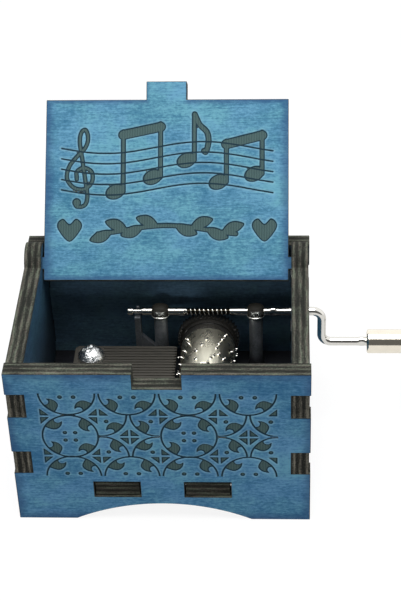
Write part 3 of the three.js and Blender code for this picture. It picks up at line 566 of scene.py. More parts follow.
def lattice(p):
    """The front's traditional lattice. Circles stand in a row; scallops hang above and below
    them; between two circles four arcs make a hollow-sided diamond. Every arc carries the same
    leaf, turned by right angles about its own centre."""
    burn, ground = np.full(len(p), FAR), np.full(len(p), FAR)
    leaf = smooth_loop(LEAF)
    x, z = p[:, 0], p[:, 1]

    def ring(cx, cz, keep):
        away = np.abs(np.hypot(x - cx, z - cz) - RING) - LINE / 2
        np.minimum(burn, np.where(keep, away, FAR), out=burn)

    def leaves(cx, cz, turns):
        for quarter in turns:
            loop = turn(leaf, 90 * quarter) + (cx, cz)
            nearby(p, loop.mean(0), 4.2, ground, lambda q: inside(q, loop))

    def dot(cx, cz, radius=0.5):
        nearby(p, (cx, cz), 1.6, ground, lambda q: np.hypot(*(q - (cx, cz)).T) - radius)

    def diamond(cx, cz, quadrants, half=2.35, gap=0.3):
        for sx, sz in quadrants:
            corner = [(cx + sx * gap, cz + sz * gap), (cx + sx * (half - gap), cz + sz * gap),
                      (cx + sx * gap, cz + sz * (half - gap))]
            nearby(p, (cx, cz), 3.6, ground, lambda q: inside(q, corner) - 0.06)

    limits = np.abs(x) < 25.35
    for k in range(4):
        cx = LATTICE_X + LATTICE_PITCH * k
        near = limits & (np.abs(x - cx) < RING + 0.3)
        for cz, up, turns, lift in ((ROW_TOP, -1, (0, 1), 1.05), (ROW_LOW, 1, (2, 3), 0.95)):
            ring(cx, cz, near & (up * (z - cz) > 0.1))
            leaves(cx, cz, turns)
            dot(cx - 1.42, cz + up * lift)
            dot(cx + 1.42, cz + up * lift)
        if k % 2 == 0:
            ring(cx, ROW_MID, limits)
            leaves(cx, ROW_MID, (0, 1, 2, 3))
            for sx, sz in QUADRANTS:
                dot(cx + 1.1 * sx, ROW_MID + 1.08 * sz, 0.48)
            continue
        diamond(cx, ROW_MID - 0.1, QUADRANTS)
        for side in (-1, 1):
            centre = cx + side * LATTICE_PITCH / 2
            inner = limits & (np.abs(x - cx) < LATTICE_PITCH / 2) & (side * (centre - x) > 0)
            for cz, up, turns, lift in ((SUB_HIGH, -1, (1, 0), 1.75), (SUB_LOW, 1, (2, 3), 1.5)):
                ring(centre, cz, inner & (up * (z - cz) > 0.1) & (up * (ROW_MID - z) > 0.1))
                leaves(centre, cz, [turns[side > 0]])
                dot(centre - 1.6 * side, cz + up * lift)
    three = ((-1, 1), (1, 1), (-1, -1))
    corners = (((1, 1), (1, -1)), three, ((-1, 1), (1, 1), (1, -1)), three, ((-1, 1),))
    for cx, high in zip((-25.25, -12.67, -0.05, 12.57, 25.19), corners):
        diamond(cx, SUB_HIGH - 0.35, high)
        diamond(cx, SUB_LOW + 0.35, [(sx, -sz) for sx, sz in high])
    return burn, ground


# The lid's clef, from the middle of its curl outwards
CLEF = [(-0.45, -0.2), (-0.45, 0.6), (0.3, 1.05), (1.15, 0.6), (1.2, -0.45), (0.4, -1.25),
        (-0.75, -1.1), (-1.5, -0.1), (-1.25, 1.2), (-0.4, 2.3), (0.45, 3.2), (0.75, 4.2),
        (0.5, 5.1), (0.05, 4.9), (-0.15, 3.9), (0.1, 2.2), (0.4, 0.2), (0.7, -1.9), (0.5, -2.9),
        (-0.15, -3.15), (-0.6, -2.75)]


def smooth_path(points, steps=4):
    """An open Catmull-Rom curve through the points."""
    points = np.array(points, float)
    return smooth_loop(points, steps)[:(len(points) - 1) * steps + 1]


def tune_design(p):
    """The lid's plain engraving: five wavy staff lines with a clef and round-headed notes on
    them, over a leafy sprig, and two hearts."""
    burn, ground = np.full(len(p), FAR), np.full(len(p), FAR)
    along = np.linspace(-23.8, 23.8, 60)

    def staff(s, k):
        return 16.6 + 2.35 * k + 1.3 * np.sin(s * 0.145 + 0.4)

    def put(centre, reach, shape):
        nearby(p, centre, reach, ground, shape)

    for k in range(5):
        np.minimum(burn, stroke(p, np.stack([along, staff(along, k)], 1), 0.36), out=burn)
    clef = smooth_path(np.array(CLEF) * 2.1 + (-19.4, staff(-19.4, 1) + 1.2))
    put((-19.2, 21.0), 13.0, lambda q: stroke(q, clef, 1.0))
    put(clef[-1], 3.0, lambda q: np.hypot(*(q - clef[-1] - (0.35, 0.1)).T) - 1.0)

    heads = ((-11.6, 0.3), (-3.2, 1.2), (4.4, 2.3), (11.6, 0.2), (19.6, 1.5))
    tops = (29.6, 31.4, 33.6, 27.4, 29.4)
    for (x, k), top in zip(heads, tops):
        y = staff(x, k)
        put((x, y), 4.5, lambda q: (np.hypot(*(turn(q - (x, y), -24) / (2.35, 1.7)).T) - 1) * 1.7)
        stem = [(x + 1.75, y), (x + 1.75, top)]
        put((x + 1.7, (y + top) / 2), 12.0, lambda q: stroke(q, stem, 1.15))
    for middle, beam in (((-6.0, 30.0), [(-9.9, 28.9), (-1.4, 30.7)]),
                         ((17.0, 28.0), [(13.3, 26.7), (21.4, 28.7)])):
        put(middle, 9.0, lambda q: stroke(q, beam, 2.3))
    flag = smooth_path([(6.2, 33.3), (7.3, 31.2), (9.0, 29.4), (9.3, 27.0), (8.3, 25.2)])
    put((8.0, 29.5), 7.0, lambda q: stroke(q, flag, 1.35))

    def vine(x):
        return 7.4 + 1.0 * np.cos(x * 0.17)

    stem_x = np.linspace(-15.5, 15.5, 30)
    np.minimum(ground, stroke(p, np.stack([stem_x, vine(stem_x)], 1), 1.2), out=ground)
    blade = smooth_loop([(0, -0.3), (1.2, 1.7), (3.0, 2.5), (5.2, 1.9), (4.0, 0.3), (2.0, -0.5)])
    for i, x in enumerate(np.linspace(-12.2, 12.2, 8)):
        leaf = blade * (math.copysign(1, x), 1 if i % 2 else -1) + (x, vine(x))
        put(leaf.mean(0), 6.0, lambda q: inside(q, leaf))
    for side in (-1, 1):
        heart = smooth_loop([(0, -3.0), (2.6, -0.3), (2.85, 1.5), (1.5, 2.5), (0, 1.2), (-1.5, 2.5),
                             (-2.85, 1.5), (-2.6, -0.3)]) * 0.95 + (side * 21.9, 7.6)
        put((side * 21.9, 7.6), 6.0, lambda q: inside(q, heart))
    return burn, ground


# The case


def across_x(start, sign=1):
    """Places a plate across X: a is y, b is z, and t runs from x = start along sign."""
    return lambda p: np.stack([start + sign * p[:, 2], p[:, 0], p[:, 1]], 1)


def across_y(start, sign=1):
    """Places a plate across Y: a is x, b is z, and t runs from y = start along sign."""
    return lambda p: np.stack([p[:, 0], start + sign * p[:, 2], p[:, 1]], 1)


def on_lid(p):
    """The lid lies along its lean: b runs from the turning line to the free edge, and t from the
    inner face, which shows, to the outer one."""
    through = p[:, 2] - PLY / 2
    return np.stack([p[:, 0], HINGE[0] + p[:, 1] * LEAN_Y + through * LEAN_Z,
                     HINGE[1] + p[:, 1] * LEAN_Z - through * LEAN_Y], 1)


def panel(outline, holes, place, field=None):
    """A plywood panel: face t = 0, face t = PLY and the cut edges between, with tags 0, 2 and 1.
    A field is (a0, a1, b0, b1, cell, depth): that part of face t = 0 is a fine grid, sunk by
    depth(points) millimetres."""
    loops = [np.array(loop, float) for loop in [outline, *holes]]
    near, grid, grid_faces = list(loops), np.zeros((0, 3)), []
    if field:
        a0, a1, b0, b1, cell, depth = field
        a, b = (np.linspace(low, high, round((high - low) / cell) + 1)
                for low, high in ((a0, a1), (b0, b1)))
        flat = np.stack(np.meshgrid(a, b, indexing="ij"), -1).reshape(-1, 2)
        grid = np.concatenate([flat, depth(flat)[:, None]], 1)
        grid_faces = skin(len(a), len(b))
        number = np.arange(len(flat)).reshape(len(a), len(b))
        near.append(flat[np.concatenate([number[:-1, 0], number[-1, :-1], number[:0:-1, -1],
                                         number[0, :0:-1]])])
    offset = sum(map(len, near))
    base = offset + sum(map(len, loops))
    points = [lifted(np.concatenate(near), 0), lifted(np.concatenate(loops), PLY), grid]
    parts = ((0, fill(near)), (2, [[i + offset for i in face] for face in fill(loops)]),
             (1, walls(loops, offset)), (0, [[i + base for i in face] for face in grid_faces]))
    return (place(np.concatenate(points)), [face for _, faces in parts for face in faces],
            [tag for tag, faces in parts for _ in faces])


def arch(half, rise=4.6, steps=28):
    """The arch under a panel, from its left foot to its right one."""
    radius = (half * half + rise * rise) / (2 * rise)
    spread = math.degrees(math.asin(half / radius))
    return arc((0, rise - radius), radius, 90 + spread, 90 - spread, steps)


def fingered(edge, tip, gap=0.0):
    """A panel's right edge from the bottom up, which steps to the tip at each finger."""
    points = [(edge, 0)]
    for low, high in FINGERS[::-1]:
        points += [(edge, low - gap), (tip, low - gap), (tip, high + gap), (edge, high + gap)]
    return points + [(edge, HEIGHT)]


def mirrored(points):
    """An outline's right half as its left one, so that the two run on from each other."""
    return [(-a, b) for a, b in points[::-1]]


def face_outline(notched):
    """The front panel, whose top edge is notched for the lid's tab, or the back one."""
    right = fingered(WIDTH / 2, SIDE_IN - JOINT_GAP, JOINT_GAP)
    top = [(5.15, HEIGHT), (5.15, 37.6), (-5.15, 37.6), (-5.15, HEIGHT)] if notched else []
    return right + top + mirrored(right) + arch(19.25)


def floor_slots():
    """The slots in the front and back panels for the floor's tabs."""
    return [oblong(c - 5.08, c + 5.08, 6.62, 11.1) for c in (-9.85, 9.85)]


def side_outline():
    """A side panel, with its fingers at both ends and the ear about the lid's turning line."""
    half, radius, lift = FACE_IN - JOINT_GAP, 4.3, 0.7
    right = fingered(half, FACE_OUT)
    rise = math.degrees(math.asin((HEIGHT - HINGE[1] - lift) / radius))
    ear = arc((HINGE[0], HINGE[1] + lift), radius, rise, 180 - rise, 30)
    return right + [q for q in ear if q[0] < half - 0.01] + mirrored(right) + arch(13.0)


def floor_outline():
    """The floor, with two tabs to the front and two to the back."""
    x, y, tab = SIDE_IN - JOINT_GAP, FACE_IN - JOINT_GAP, FACE_OUT - 0.35
    near, far = 5.05, 14.65
    back = [(x, y), (far, y), (far, tab), (near, tab), (near, y),
            (-near, y), (-near, tab), (-far, tab), (-far, y), (-x, y)]
    return [(a, -b) for a, b in back[::-1]] + back


def lid_outline():
    """The lid, with its tenons on the turning line and the tab in the middle of its free edge."""
    half, pin, end, tail, tab, front = SIDE_IN - 0.6, 1.4, SIDE_OUT - 0.1, -3.9, 41.0, 36.88
    right = [(half, tail), (half, -pin), (end, -pin), (end, pin), (half, pin), (half, front),
             (4.4, front), (4.4, tab)]
    left = [(-4.7, tab), (-4.7, front), (-half, front), (-half - 0.33, pin), (-end, pin),
            (-end, -pin), (-half - 0.35, -pin), (-half - 0.38, tail)]
    return right + left


# An engraving's depth, and the width over which its walls slope
ENGRAVED_DEPTH = WALL_RUN = 0.16


def sunk(design):
    """Depth of an engraving at points of its face: a steep wall about the design's outline."""
    def depth(p):
        burn, ground = design(p)
        level = np.clip(0.5 - np.minimum(burn, ground) / WALL_RUN, 0, 1)
        return ENGRAVED_DEPTH * level * level * (3 - 2 * level)
    return depth


def stored(design, flat_of, limits):
    """The engraving's signed distances, stored on the mesh for its material to read."""
    a0, a1, b0, b1 = limits
    def field(points):
        flat, through = flat_of(points)
        here = ((np.abs(through) < 0.6) & (flat[:, 0] > a0) & (flat[:, 0] < a1)
                & (flat[:, 1] > b0) & (flat[:, 1] < b1))
        burn, ground = np.full(len(points), FAR), np.full(len(points), FAR)
        burn[here], ground[here] = design(flat[here])
        return {"burn": burn, "ground": ground}
    return field


def front_flat(points):
    """The front's (a, b) and t of points in the case."""
    return points[:, [0, 2]], points[:, 1] + FACE_OUT


def lid_flat(points):
    """The lid's (a, b) and t of points in the case."""
    y, z = points[:, 1] - HINGE[0], points[:, 2] - HINGE[1]
    return np.stack([points[:, 0], y * LEAN_Y + z * LEAN_Z], 1), y * LEAN_Z - z * LEAN_Y + PLY / 2


def build_case():
    """The six plywood parts. Each has three finishes: its face, its cut edges, its far face."""
    x_of, y_of, z_of = (lambda *spot, i=i: spot[i] for i in range(3))

    def rim(half):
        """Distance to the nearest edge of a wall of that half width."""
        return lambda a, b: (half - abs(a)).least(HEIGHT - b).least(b)

    def lid_rim(a, b):
        return (27.3 - abs(a)).least((36.7 - b).most(4.9 - abs(a)) * 2).least(b * 2 + 7.2)

    def lid_along(x, y, z):
        return (y - HINGE[0]) * LEAN_Y + (z - HINGE[1]) * LEAN_Z

    def lid_through(x, y, z):
        return (y - HINGE[0]) * LEAN_Z - (z - HINGE[1]) * LEAN_Y + PLY / 2

    def cut(name, node, shape, finishes, slot="blue_ply", body="box", bevel=0.12, field=None):
        Piece(name).add(*shape).finish(body, [node], slot, finishes, bevel, field=field)

    blues, wide = (srgb(42, 92, 129), srgb(89, 139, 167)), rim(32.0)
    face_wood = stained_wood("blue_face", *blues, x_of, z_of, wide, True)
    plain_wood = stained_wood("blue_face_plain", *blues, x_of, z_of, wide)
    side_wood = stained_wood("blue_side", *blues, y_of, z_of, rim(24.5))
    # Painted shadow: the inner faces of the front and back darken towards their top, under the lid.
    inner_wood = stained_wood("inner_stain", srgb(56, 78, 94), srgb(78, 107, 124), x_of, z_of,
                              painted_depth_shade=lambda x, y, z: z.step(27.0, 37.0) * 0.6)
    # Painted shade: the inner faces of the sides darken towards the floor.
    inner_side = stained_wood("inner_side_stain", srgb(34, 62, 84), srgb(60, 98, 122), y_of, z_of,
                              painted_depth_shade=lambda x, y, z: z.step(39.5, 20.0) * 0.8)
    # Painted shade: the floor's top, deep inside the case, is near black.
    floor_wood = stained_wood("sooty_floor", srgb(20, 22, 27), srgb(34, 37, 43), x_of, y_of)
    face_edge = cut_edge("face_edge", lambda x, y, z: FACE_OUT - abs(y), lambda x, y, z: x + z)
    side_edge = cut_edge("side_edge", lambda x, y, z: SIDE_OUT - abs(x), lambda x, y, z: y + z,
                         lambda x, y, z: abs(y).step(FACE_OUT - 0.3, FACE_OUT - 0.1))
    # Painted shade: the floor's cut edges, set back in their slots and inside the case, at half
    # brightness.
    floor_edge = cut_edge("floor_edge", lambda x, y, z: z - FLOOR_LOW, lambda x, y, z: x + y,
                          painted_dimming=0.5)

    limits = (-26.4, 26.4, 11.6, 37.1)
    cut("front_panel_engraved", "front_panel",
        panel(face_outline(True), floor_slots(), across_y(-FACE_OUT),
              (*limits, 0.16, sunk(lattice))),
        [face_wood, face_edge, inner_wood], field=stored(lattice, front_flat, limits))
    cut("back_panel_cut", "back_panel",
        panel(face_outline(False), floor_slots(), across_y(FACE_OUT, -1)),
        [plain_wood, face_edge, inner_wood])
    pivot, bore = circle(HINGE, 2.5), circle(SHAFT, 1.6)
    for side, place, holes in (("left", across_x(-SIDE_OUT), [pivot]),
                               ("right", across_x(SIDE_OUT, -1), [pivot, bore])):
        cut(f"{side}_panel_cut", f"{side}_panel", panel(side_outline(), holes, place),
            [side_wood, side_edge, inner_side])
    bores = [circle(spot, BASE_BORE, 16) for spot in BASE_SCREWS]
    cut("floor_panel_cut", "floor_panel",
        panel(floor_outline(), bores, lambda p: p + (0, 0, FLOOR_LOW)),
        [inner_wood, floor_edge, floor_wood], "bare_ply", bevel=0.1)

    lid_blues = srgb(43, 95, 124), srgb(92, 145, 166)
    lid_wood = stained_wood("blue_lid_face", *lid_blues, x_of, lid_along, lid_rim, True)
    lid_back = stained_wood("blue_lid_back", *lid_blues, x_of, lid_along, lid_rim)
    lid_edge = cut_edge("lid_edge", lid_through, lambda x, y, z: x + y + z)
    limits = (-25.6, 25.6, 3.0, 35.8)
    cut("lid_engraved", "lid", panel(lid_outline(), [], on_lid, (*limits, 0.18, sunk(tune_design))),
        [lid_wood, lid_edge, lid_back], "blue_lid", "lid",
        field=stored(tune_design, lid_flat, limits))


# The movement


def build_casting(casting):
    """The bed with its posts, bosses, thrust post, web and rear lug, and the drum's bracket."""
    bed = Piece("movement_casting")
    r, (x0, x1, y0, y1) = 2.0, (-22.3, 22.0, -16.6, 17.6)
    outline = [point for i, (x, y) in enumerate(((x1 - r, y0 + r), (x1 - r, y1 - r),
                                                 (x0 + r, y1 - r), (x0 + r, y0 + r)))
               for point in arc((x, y), r, 90 * i - 90, 90 * i, 8)]
    window = oblong(3.4, 14.5, -8.4, 15.1)
    bores = [circle(spot, BASE_BORE, 24) for spot in BASE_SCREWS]
    bed.add(*slab(outline, [window, *bores], FLOOR_TOP, BED_TOP))
    low = BED_TOP - 0.3
    bed.add(*slab(oblong(-21.7, -13.7, COMB_MID - 8.86, COMB_MID + 8.86), [], low, SEAT_TOP))
    for x in POSTS:
        foot = [(2.0, low), (1.95, BED_TOP + 0.2), (1.75, BED_TOP + 0.5), (1.6, BED_TOP + 1.1),
                (1.55, BED_TOP + 2.0), (1.55, 25.6), (1.3, 26.3)]
        bed.add(*turned(foot, "z", (x, SHAFT[0], 0), 40))
    for spot in BASE_SCREWS:
        boss = [(2.85, low), (2.75, BED_TOP + 0.3), (2.7, 14.6), (2.55, 14.75), (1.55, 14.75),
                (BASE_BORE, 14.65), (BASE_BORE, low)]
        bed.add(*turned(boss, "z", (*spot, 0), 36, ring=True))
    bed.add(*turned([(0.42, 26.8), (0.42, 28.1), (0.34, 28.32), (0.16, 28.44)], "z",
                    (-7.15, 15.25, 0), 24))
    horn = [(12.8, low), (12.8, 26.75), (13.0, 27.0), (15.55, 27.0), (15.8, 26.75), (15.8, low)]
    bed.add(*slab(horn, [], -0.65, 0.65, across_x(-7.15)))
    web = [(-7.15, low), (-1.93, low), (-1.93, 16.6), (-7.15, 22.05)]
    bed.add(*slab(web, [], 0, 1.2, across_y(SHAFT[0] + 0.6, -1)))
    arbor_bore, crown = circle(DRUM, ARBOR_BORE, 24), arc(DRUM, 2.3, 0, 180, 24)
    lug = [(DRUM[0] - 2.3, low), (DRUM[0] + 2.3, low)] + crown
    bed.add(*slab(lug, [arbor_bore], 0, 1.4, across_y(16.7, -1)))
    bed.finish("box", ["movement_bed"], "casting", [casting], 0.22)

    bracket = Piece("front_bracket")
    left, right, shoulder = DRUM[0] - 3.2, DRUM[0] + 3.2, DRUM[1] - 0.6
    wall = ([(left, BED_TOP), (right, BED_TOP), (right, shoulder), (right - 0.2, DRUM[1] - 0.15)]
            + crown + [(left + 0.2, DRUM[1] - 0.15), (left, shoulder)])
    bracket.add(*slab(wall, [arbor_bore], 0, 1.2, across_y(-9.3, -1)))
    foot = [(left, -15.3), (left + 0.4, -15.7), (right - 0.4, -15.7), (right, -15.3),
            (right, -9.4), (left, -9.4)]
    bracket.add(*slab(foot, [circle(BRACKET_SCREW, 1.05, 24)], BED_TOP, BED_TOP + 1.2))
    bracket.finish("box", ["drum_bracket"], "casting", [casting], 0.18)


def build_balls(resin, plated):
    """Each ball is a little longer along the shaft: radius 1.88 cos(a)^0.8 at 2.1 sin(a)^0.8, cut
    by its bore. It sits in a thin plated cup: a ring of radius 1.68 about the post, with a wire
    0.3 across and 0.2 up, stretched a little along the shaft."""
    a = np.linspace(-1.05, 1.05, 41)
    ball = list(zip(1.88 * np.cos(a) ** 0.8, 2.1 * np.sign(a) * np.abs(np.sin(a)) ** 0.8))
    a = np.linspace(0, 2 * np.pi, 17)[:-1]
    cup, faces = turned(list(zip(1.68 + 0.3 * np.cos(a), SHAFT[1] - 0.82 + 0.2 * np.sin(a))), "z",
                        sides=56, ring=True)
    for name, x in zip(("left", "right"), POSTS):
        Piece(f"bearing_ball_{name}").add(*turned(ball, "x", (x, *SHAFT), 56, ring=True)).finish(
            "box", [f"shaft_ball_{name}"], "black_resin", [resin], sharp=50)
        Piece(f"bearing_cup_{name}").add(cup * (1.08, 1, 1) + (x, SHAFT[0], 0), faces).finish(
            "box", [], "bright_steel", [plated])


def build_comb(steel, brass):
    """The comb: one plate with pointed teeth, on a thicker land, over its packing strip."""
    half, r, slit = COMB_TEETH * COMB_PITCH / 2, 1.2, 0.11
    low_y, high_y = COMB_MID - half, COMB_MID + half
    start = arc((COMB_BACK + r, low_y + r), r, 180, 270, 8)
    end = arc((COMB_BACK + r, high_y - r), r, 90, 180, 8)
    teeth = []
    for i in range(COMB_TEETH):
        low = low_y + i * COMB_PITCH + (slit if i else 0)
        high = low_y + (i + 1) * COMB_PITCH - (slit if i < COMB_TEETH - 1 else 0)
        middle = low_y + (i + 0.5) * COMB_PITCH
        teeth += [(LAND_END, low), (COMB_TIP - 0.9, low), (COMB_TIP, middle - 0.21),
                  (COMB_TIP, middle + 0.21), (COMB_TIP - 0.9, high), (LAND_END, high)]
    bores = [circle(spot, 1.35, 24) for spot in COMB_SCREWS]
    land = start + [(LAND_END - 0.02, low_y), (LAND_END - 0.02, high_y)] + end
    Piece("tuned_comb").add(*slab(start + teeth + end, bores, COMB_TOP - 1.0, COMB_TOP)).add(
        *slab(land, bores, COMB_TOP - 1.6, COMB_TOP - 0.99)).finish(
        "box", ["comb"], "comb_steel", [steel], 0.05, segments=1)
    Piece("comb_packing_strip").add(*slab(land, bores, SEAT_TOP, PACKING_TOP)).finish(
        "box", ["comb_packing"], "brass", [brass], 0.05)


def screw(name, spot, seat, size, node, metal, up=1):
    """A domed screw with a crossed recess; its size is the head's radius R and height, the
    shank's radius and length, and half an arm's width. The head is a surface over radius and
    angle: height = rim + rise * (1 - (radius / R)^2.2), sunk where the radius lies in the cross."""
    R, height, shank, length, arm = size
    sides = 96
    radii = np.append(np.linspace(0.0, 0.98, 36)[1:], 1.0) * R
    rad, ang = np.meshgrid(radii, np.arange(sides) * 2 * np.pi / sides, indexing="ij")
    rim = 0.3 * height
    dome = rim + (height - rim) * (1 - (rad / R) ** 2.2)
    x, y = rad * np.cos(ang), rad * np.sin(ang)
    half, reach = arm * (1.0 - 0.25 * rad / R), 0.62 * R
    slot = np.minimum(np.maximum(np.abs(x) - half, np.abs(y) - reach),
                      np.maximum(np.abs(y) - half, np.abs(x) - reach))
    sunk_by = np.clip(0.5 - slot / 0.16, 0, 1) * height * (0.3 - 0.1 * rad / R)
    top = np.stack([x, y, dome - sunk_by], -1).reshape(-1, 3)
    side = turned([(R, 0.06), (R - 0.06, 0.0), (shank, 0.0), (shank, -length + 0.3),
                   (shank - 0.25, -length)], "z", sides=sides)[0]
    points = np.concatenate([top, side, [[0, 0, height * 0.7]]]) * (1, up, up) + (*spot, seat)
    middle = len(points) - 1
    faces = capped(middle // sides, sides)
    faces[-2:-1] = [[i, (i + 1) % sides, middle] for i in range(sides)]
    Piece(name).add(points, faces).finish("box", [node], "bright_steel", [metal], sharp=40)


def build_screws(bright, worn):
    """The comb's two screws, the bracket's, and the three that come up through the floor."""
    big, small = (2.95, 2.8, 1.1, 4.6, 0.3), (1.7, 1.1, 0.8, 2.9, 0.3)
    base = (2.6, 1.5, 1.2, 8.0, 0.42)
    for name, spot in zip(("rear", "front"), COMB_SCREWS):
        screw(f"comb_clamp_screw_{name}", spot, COMB_TOP, big, f"comb_screw_{name}", worn)
    screw("bracket_clamp_screw", BRACKET_SCREW, BED_TOP + 1.2, small, "bracket_screw", bright)
    for i, spot in enumerate(BASE_SCREWS, 1):
        screw(f"floor_screw_{i}", spot, FLOOR_LOW, base, f"base_screw_{i}", bright, up=-1)


# (track, degrees from the top) of the pins that the photograph shows; the others are spread evenly
FRONT_PINS = [(1, -47), (3, -42), (5, -52), (6, -63), (8, -68), (11, -71), (3, -1), (5, -11),
              (7, -22), (10, -22), (0, 42), (2, 35), (4, 28), (6, 22), (10, 11), (9, 17), (12, 5),
              (8, 28), (9, 40), (4, 62), (0, 83), (2, 87), (6, 73)]


def build_drum(steel, pin_steel, resin, bright):
    """The drum's skin is turned: r = R - g(y) (1 - cos(2 pi y / 0.2)), with fine grooves, deeper
    towards the front, that spread a highlight along the axis."""
    front, back = -7.9, 9.7
    along = np.linspace(front, back, 353)
    groove = np.interp(along, (front, back), (0.0185, 0.01))
    grooved = list(zip(6.2 - groove * (1 - np.cos(2 * np.pi * along / 0.2)), along))
    tube = [(5.7, -8.0), (6.1, -8.0), *grooved, (6.1, 9.8), (5.7, 9.8)]
    drum = Piece("pinned_drum").add(*turned(tube, "y", DRUM_AXIS, 96, ring=True))
    pin, faces = turned([(0.5, 6.12), (0.38, 6.22), (0.26, 6.38), (0.2, 6.56), (0.2, 6.76),
                         (0.16, 6.8)], "z", sides=12)
    hidden = [(note * 7 % 18, 96 + note * 180 / 46) for note in range(46)]
    for track, degrees in FRONT_PINS + hidden:
        c, s = math.cos(math.radians(degrees)), math.sin(math.radians(degrees))
        spun = pin @ np.array([[c, 0, -s], [0, 1, 0], [s, 0, c]])
        drum.add(spun + (DRUM[0], 9.36 - (track + 0.5) * COMB_PITCH, DRUM[1]), faces, tag=1)
    drum.finish("drum", ["drum"], "drum_steel", [steel, pin_steel])

    gear, teeth = Piece("worm_wheel"), 44
    flank = ((6.6, -0.25), (6.78, -0.2), (7.02, -0.12), (7.08, -0.08))
    tooth = flank + tuple((radius, -half) for radius, half in flank[::-1])
    outline = []
    for i in range(teeth):
        for radius, half in tooth:
            a = np.pi / 2 + i * (2 * np.pi / teeth) + half / radius
            outline.append((radius * math.cos(a), radius * math.sin(a)))

    def leaning(p):
        """Teeth turn about the drum's axis by the worm's lead times the depth."""
        lean = -(p[:, 2] - 1.0) / (2 * np.pi * 0.82) / 7.003
        x = p[:, 0] * np.cos(lean) + p[:, 1] * np.sin(lean)
        z = p[:, 1] * np.cos(lean) - p[:, 0] * np.sin(lean)
        return np.stack([x + DRUM[0], SHAFT[0] + 1.0 - p[:, 2], z + DRUM[1]], 1)

    gear.add(*slab(outline, [circle((0, 0), ARBOR_BORE, 32)], 0, 2.0, leaning))
    boss = [(ARBOR_BORE, 8.5), (5.5, 8.5), (5.55, 8.6), (5.55, 9.9), (6.0, 9.9), (6.1, 10.0),
            (6.1, 11.3), (6.0, 11.4), (5.6, 11.4), (5.6, 12.1), (6.0, 12.1), (6.1, 12.2),
            (6.1, 13.0), (ARBOR_BORE, 13.0)]
    gear.add(*turned(boss, "y", DRUM_AXIS, 96, ring=True))
    gear.finish("drum", ["drum_gear"], "black_resin", [resin], 0.04, segments=1)
    cap = [(ARBOR_BORE, -8.9), (5.85, -8.9), (6.0, -8.75), (6.0, -8.25), (5.85, -8.1),
           (5.55, -8.1), (5.55, -6.6), (ARBOR_BORE, -6.6)]
    Piece("drum_front_cap").add(*turned(cap, "y", DRUM_AXIS, 96, ring=True)).finish(
        "drum", ["drum_end_cap"], "black_resin", [resin])
    rod = [(0.8, -10.7), (1.0, -10.5), (1.0, 16.7), (0.8, 16.9)]
    Piece("drum_rod").add(*turned(rod, "y", DRUM_AXIS, 32)).finish(
        "drum", ["drum_arbor"], "bright_steel", [bright])


def worm_radius(x, angle):
    """Radius over the worm: a right-handed thread of pitch 1, whose trough meets the wheel's top
    tooth at rest."""
    root, crest, flank = 0.62, 0.06, 0.38
    phase = (x - DRUM[0]) - (angle + np.pi / 2) / (2 * np.pi)
    from_crest = np.abs(phase - np.floor(phase) - 0.5)
    return root + (1 - root) * np.clip((crest + flank - from_crest) / flank, 0, 1)


def thread_root_shade(x, y, z):
    """Painted shade in the thread's hollows: 1 at its root, 0 on its crest, by distance from the
    axis.
    """
    away = ((y - SHAFT[0]) * (y - SHAFT[0]) + (z - SHAFT[1]) * (z - SHAFT[1])) ** 0.5
    return away.step(0.97, 0.8) * abs(x - DRUM[0]).step(5.5, 5.2)


def pinched(angle, press):
    """Radius of the wire where it is pressed flat: thinner front to back, spread up and down."""
    return 1.0 + press * (0.35 * np.sin(angle) ** 2 - 0.25 * np.cos(angle) ** 2)


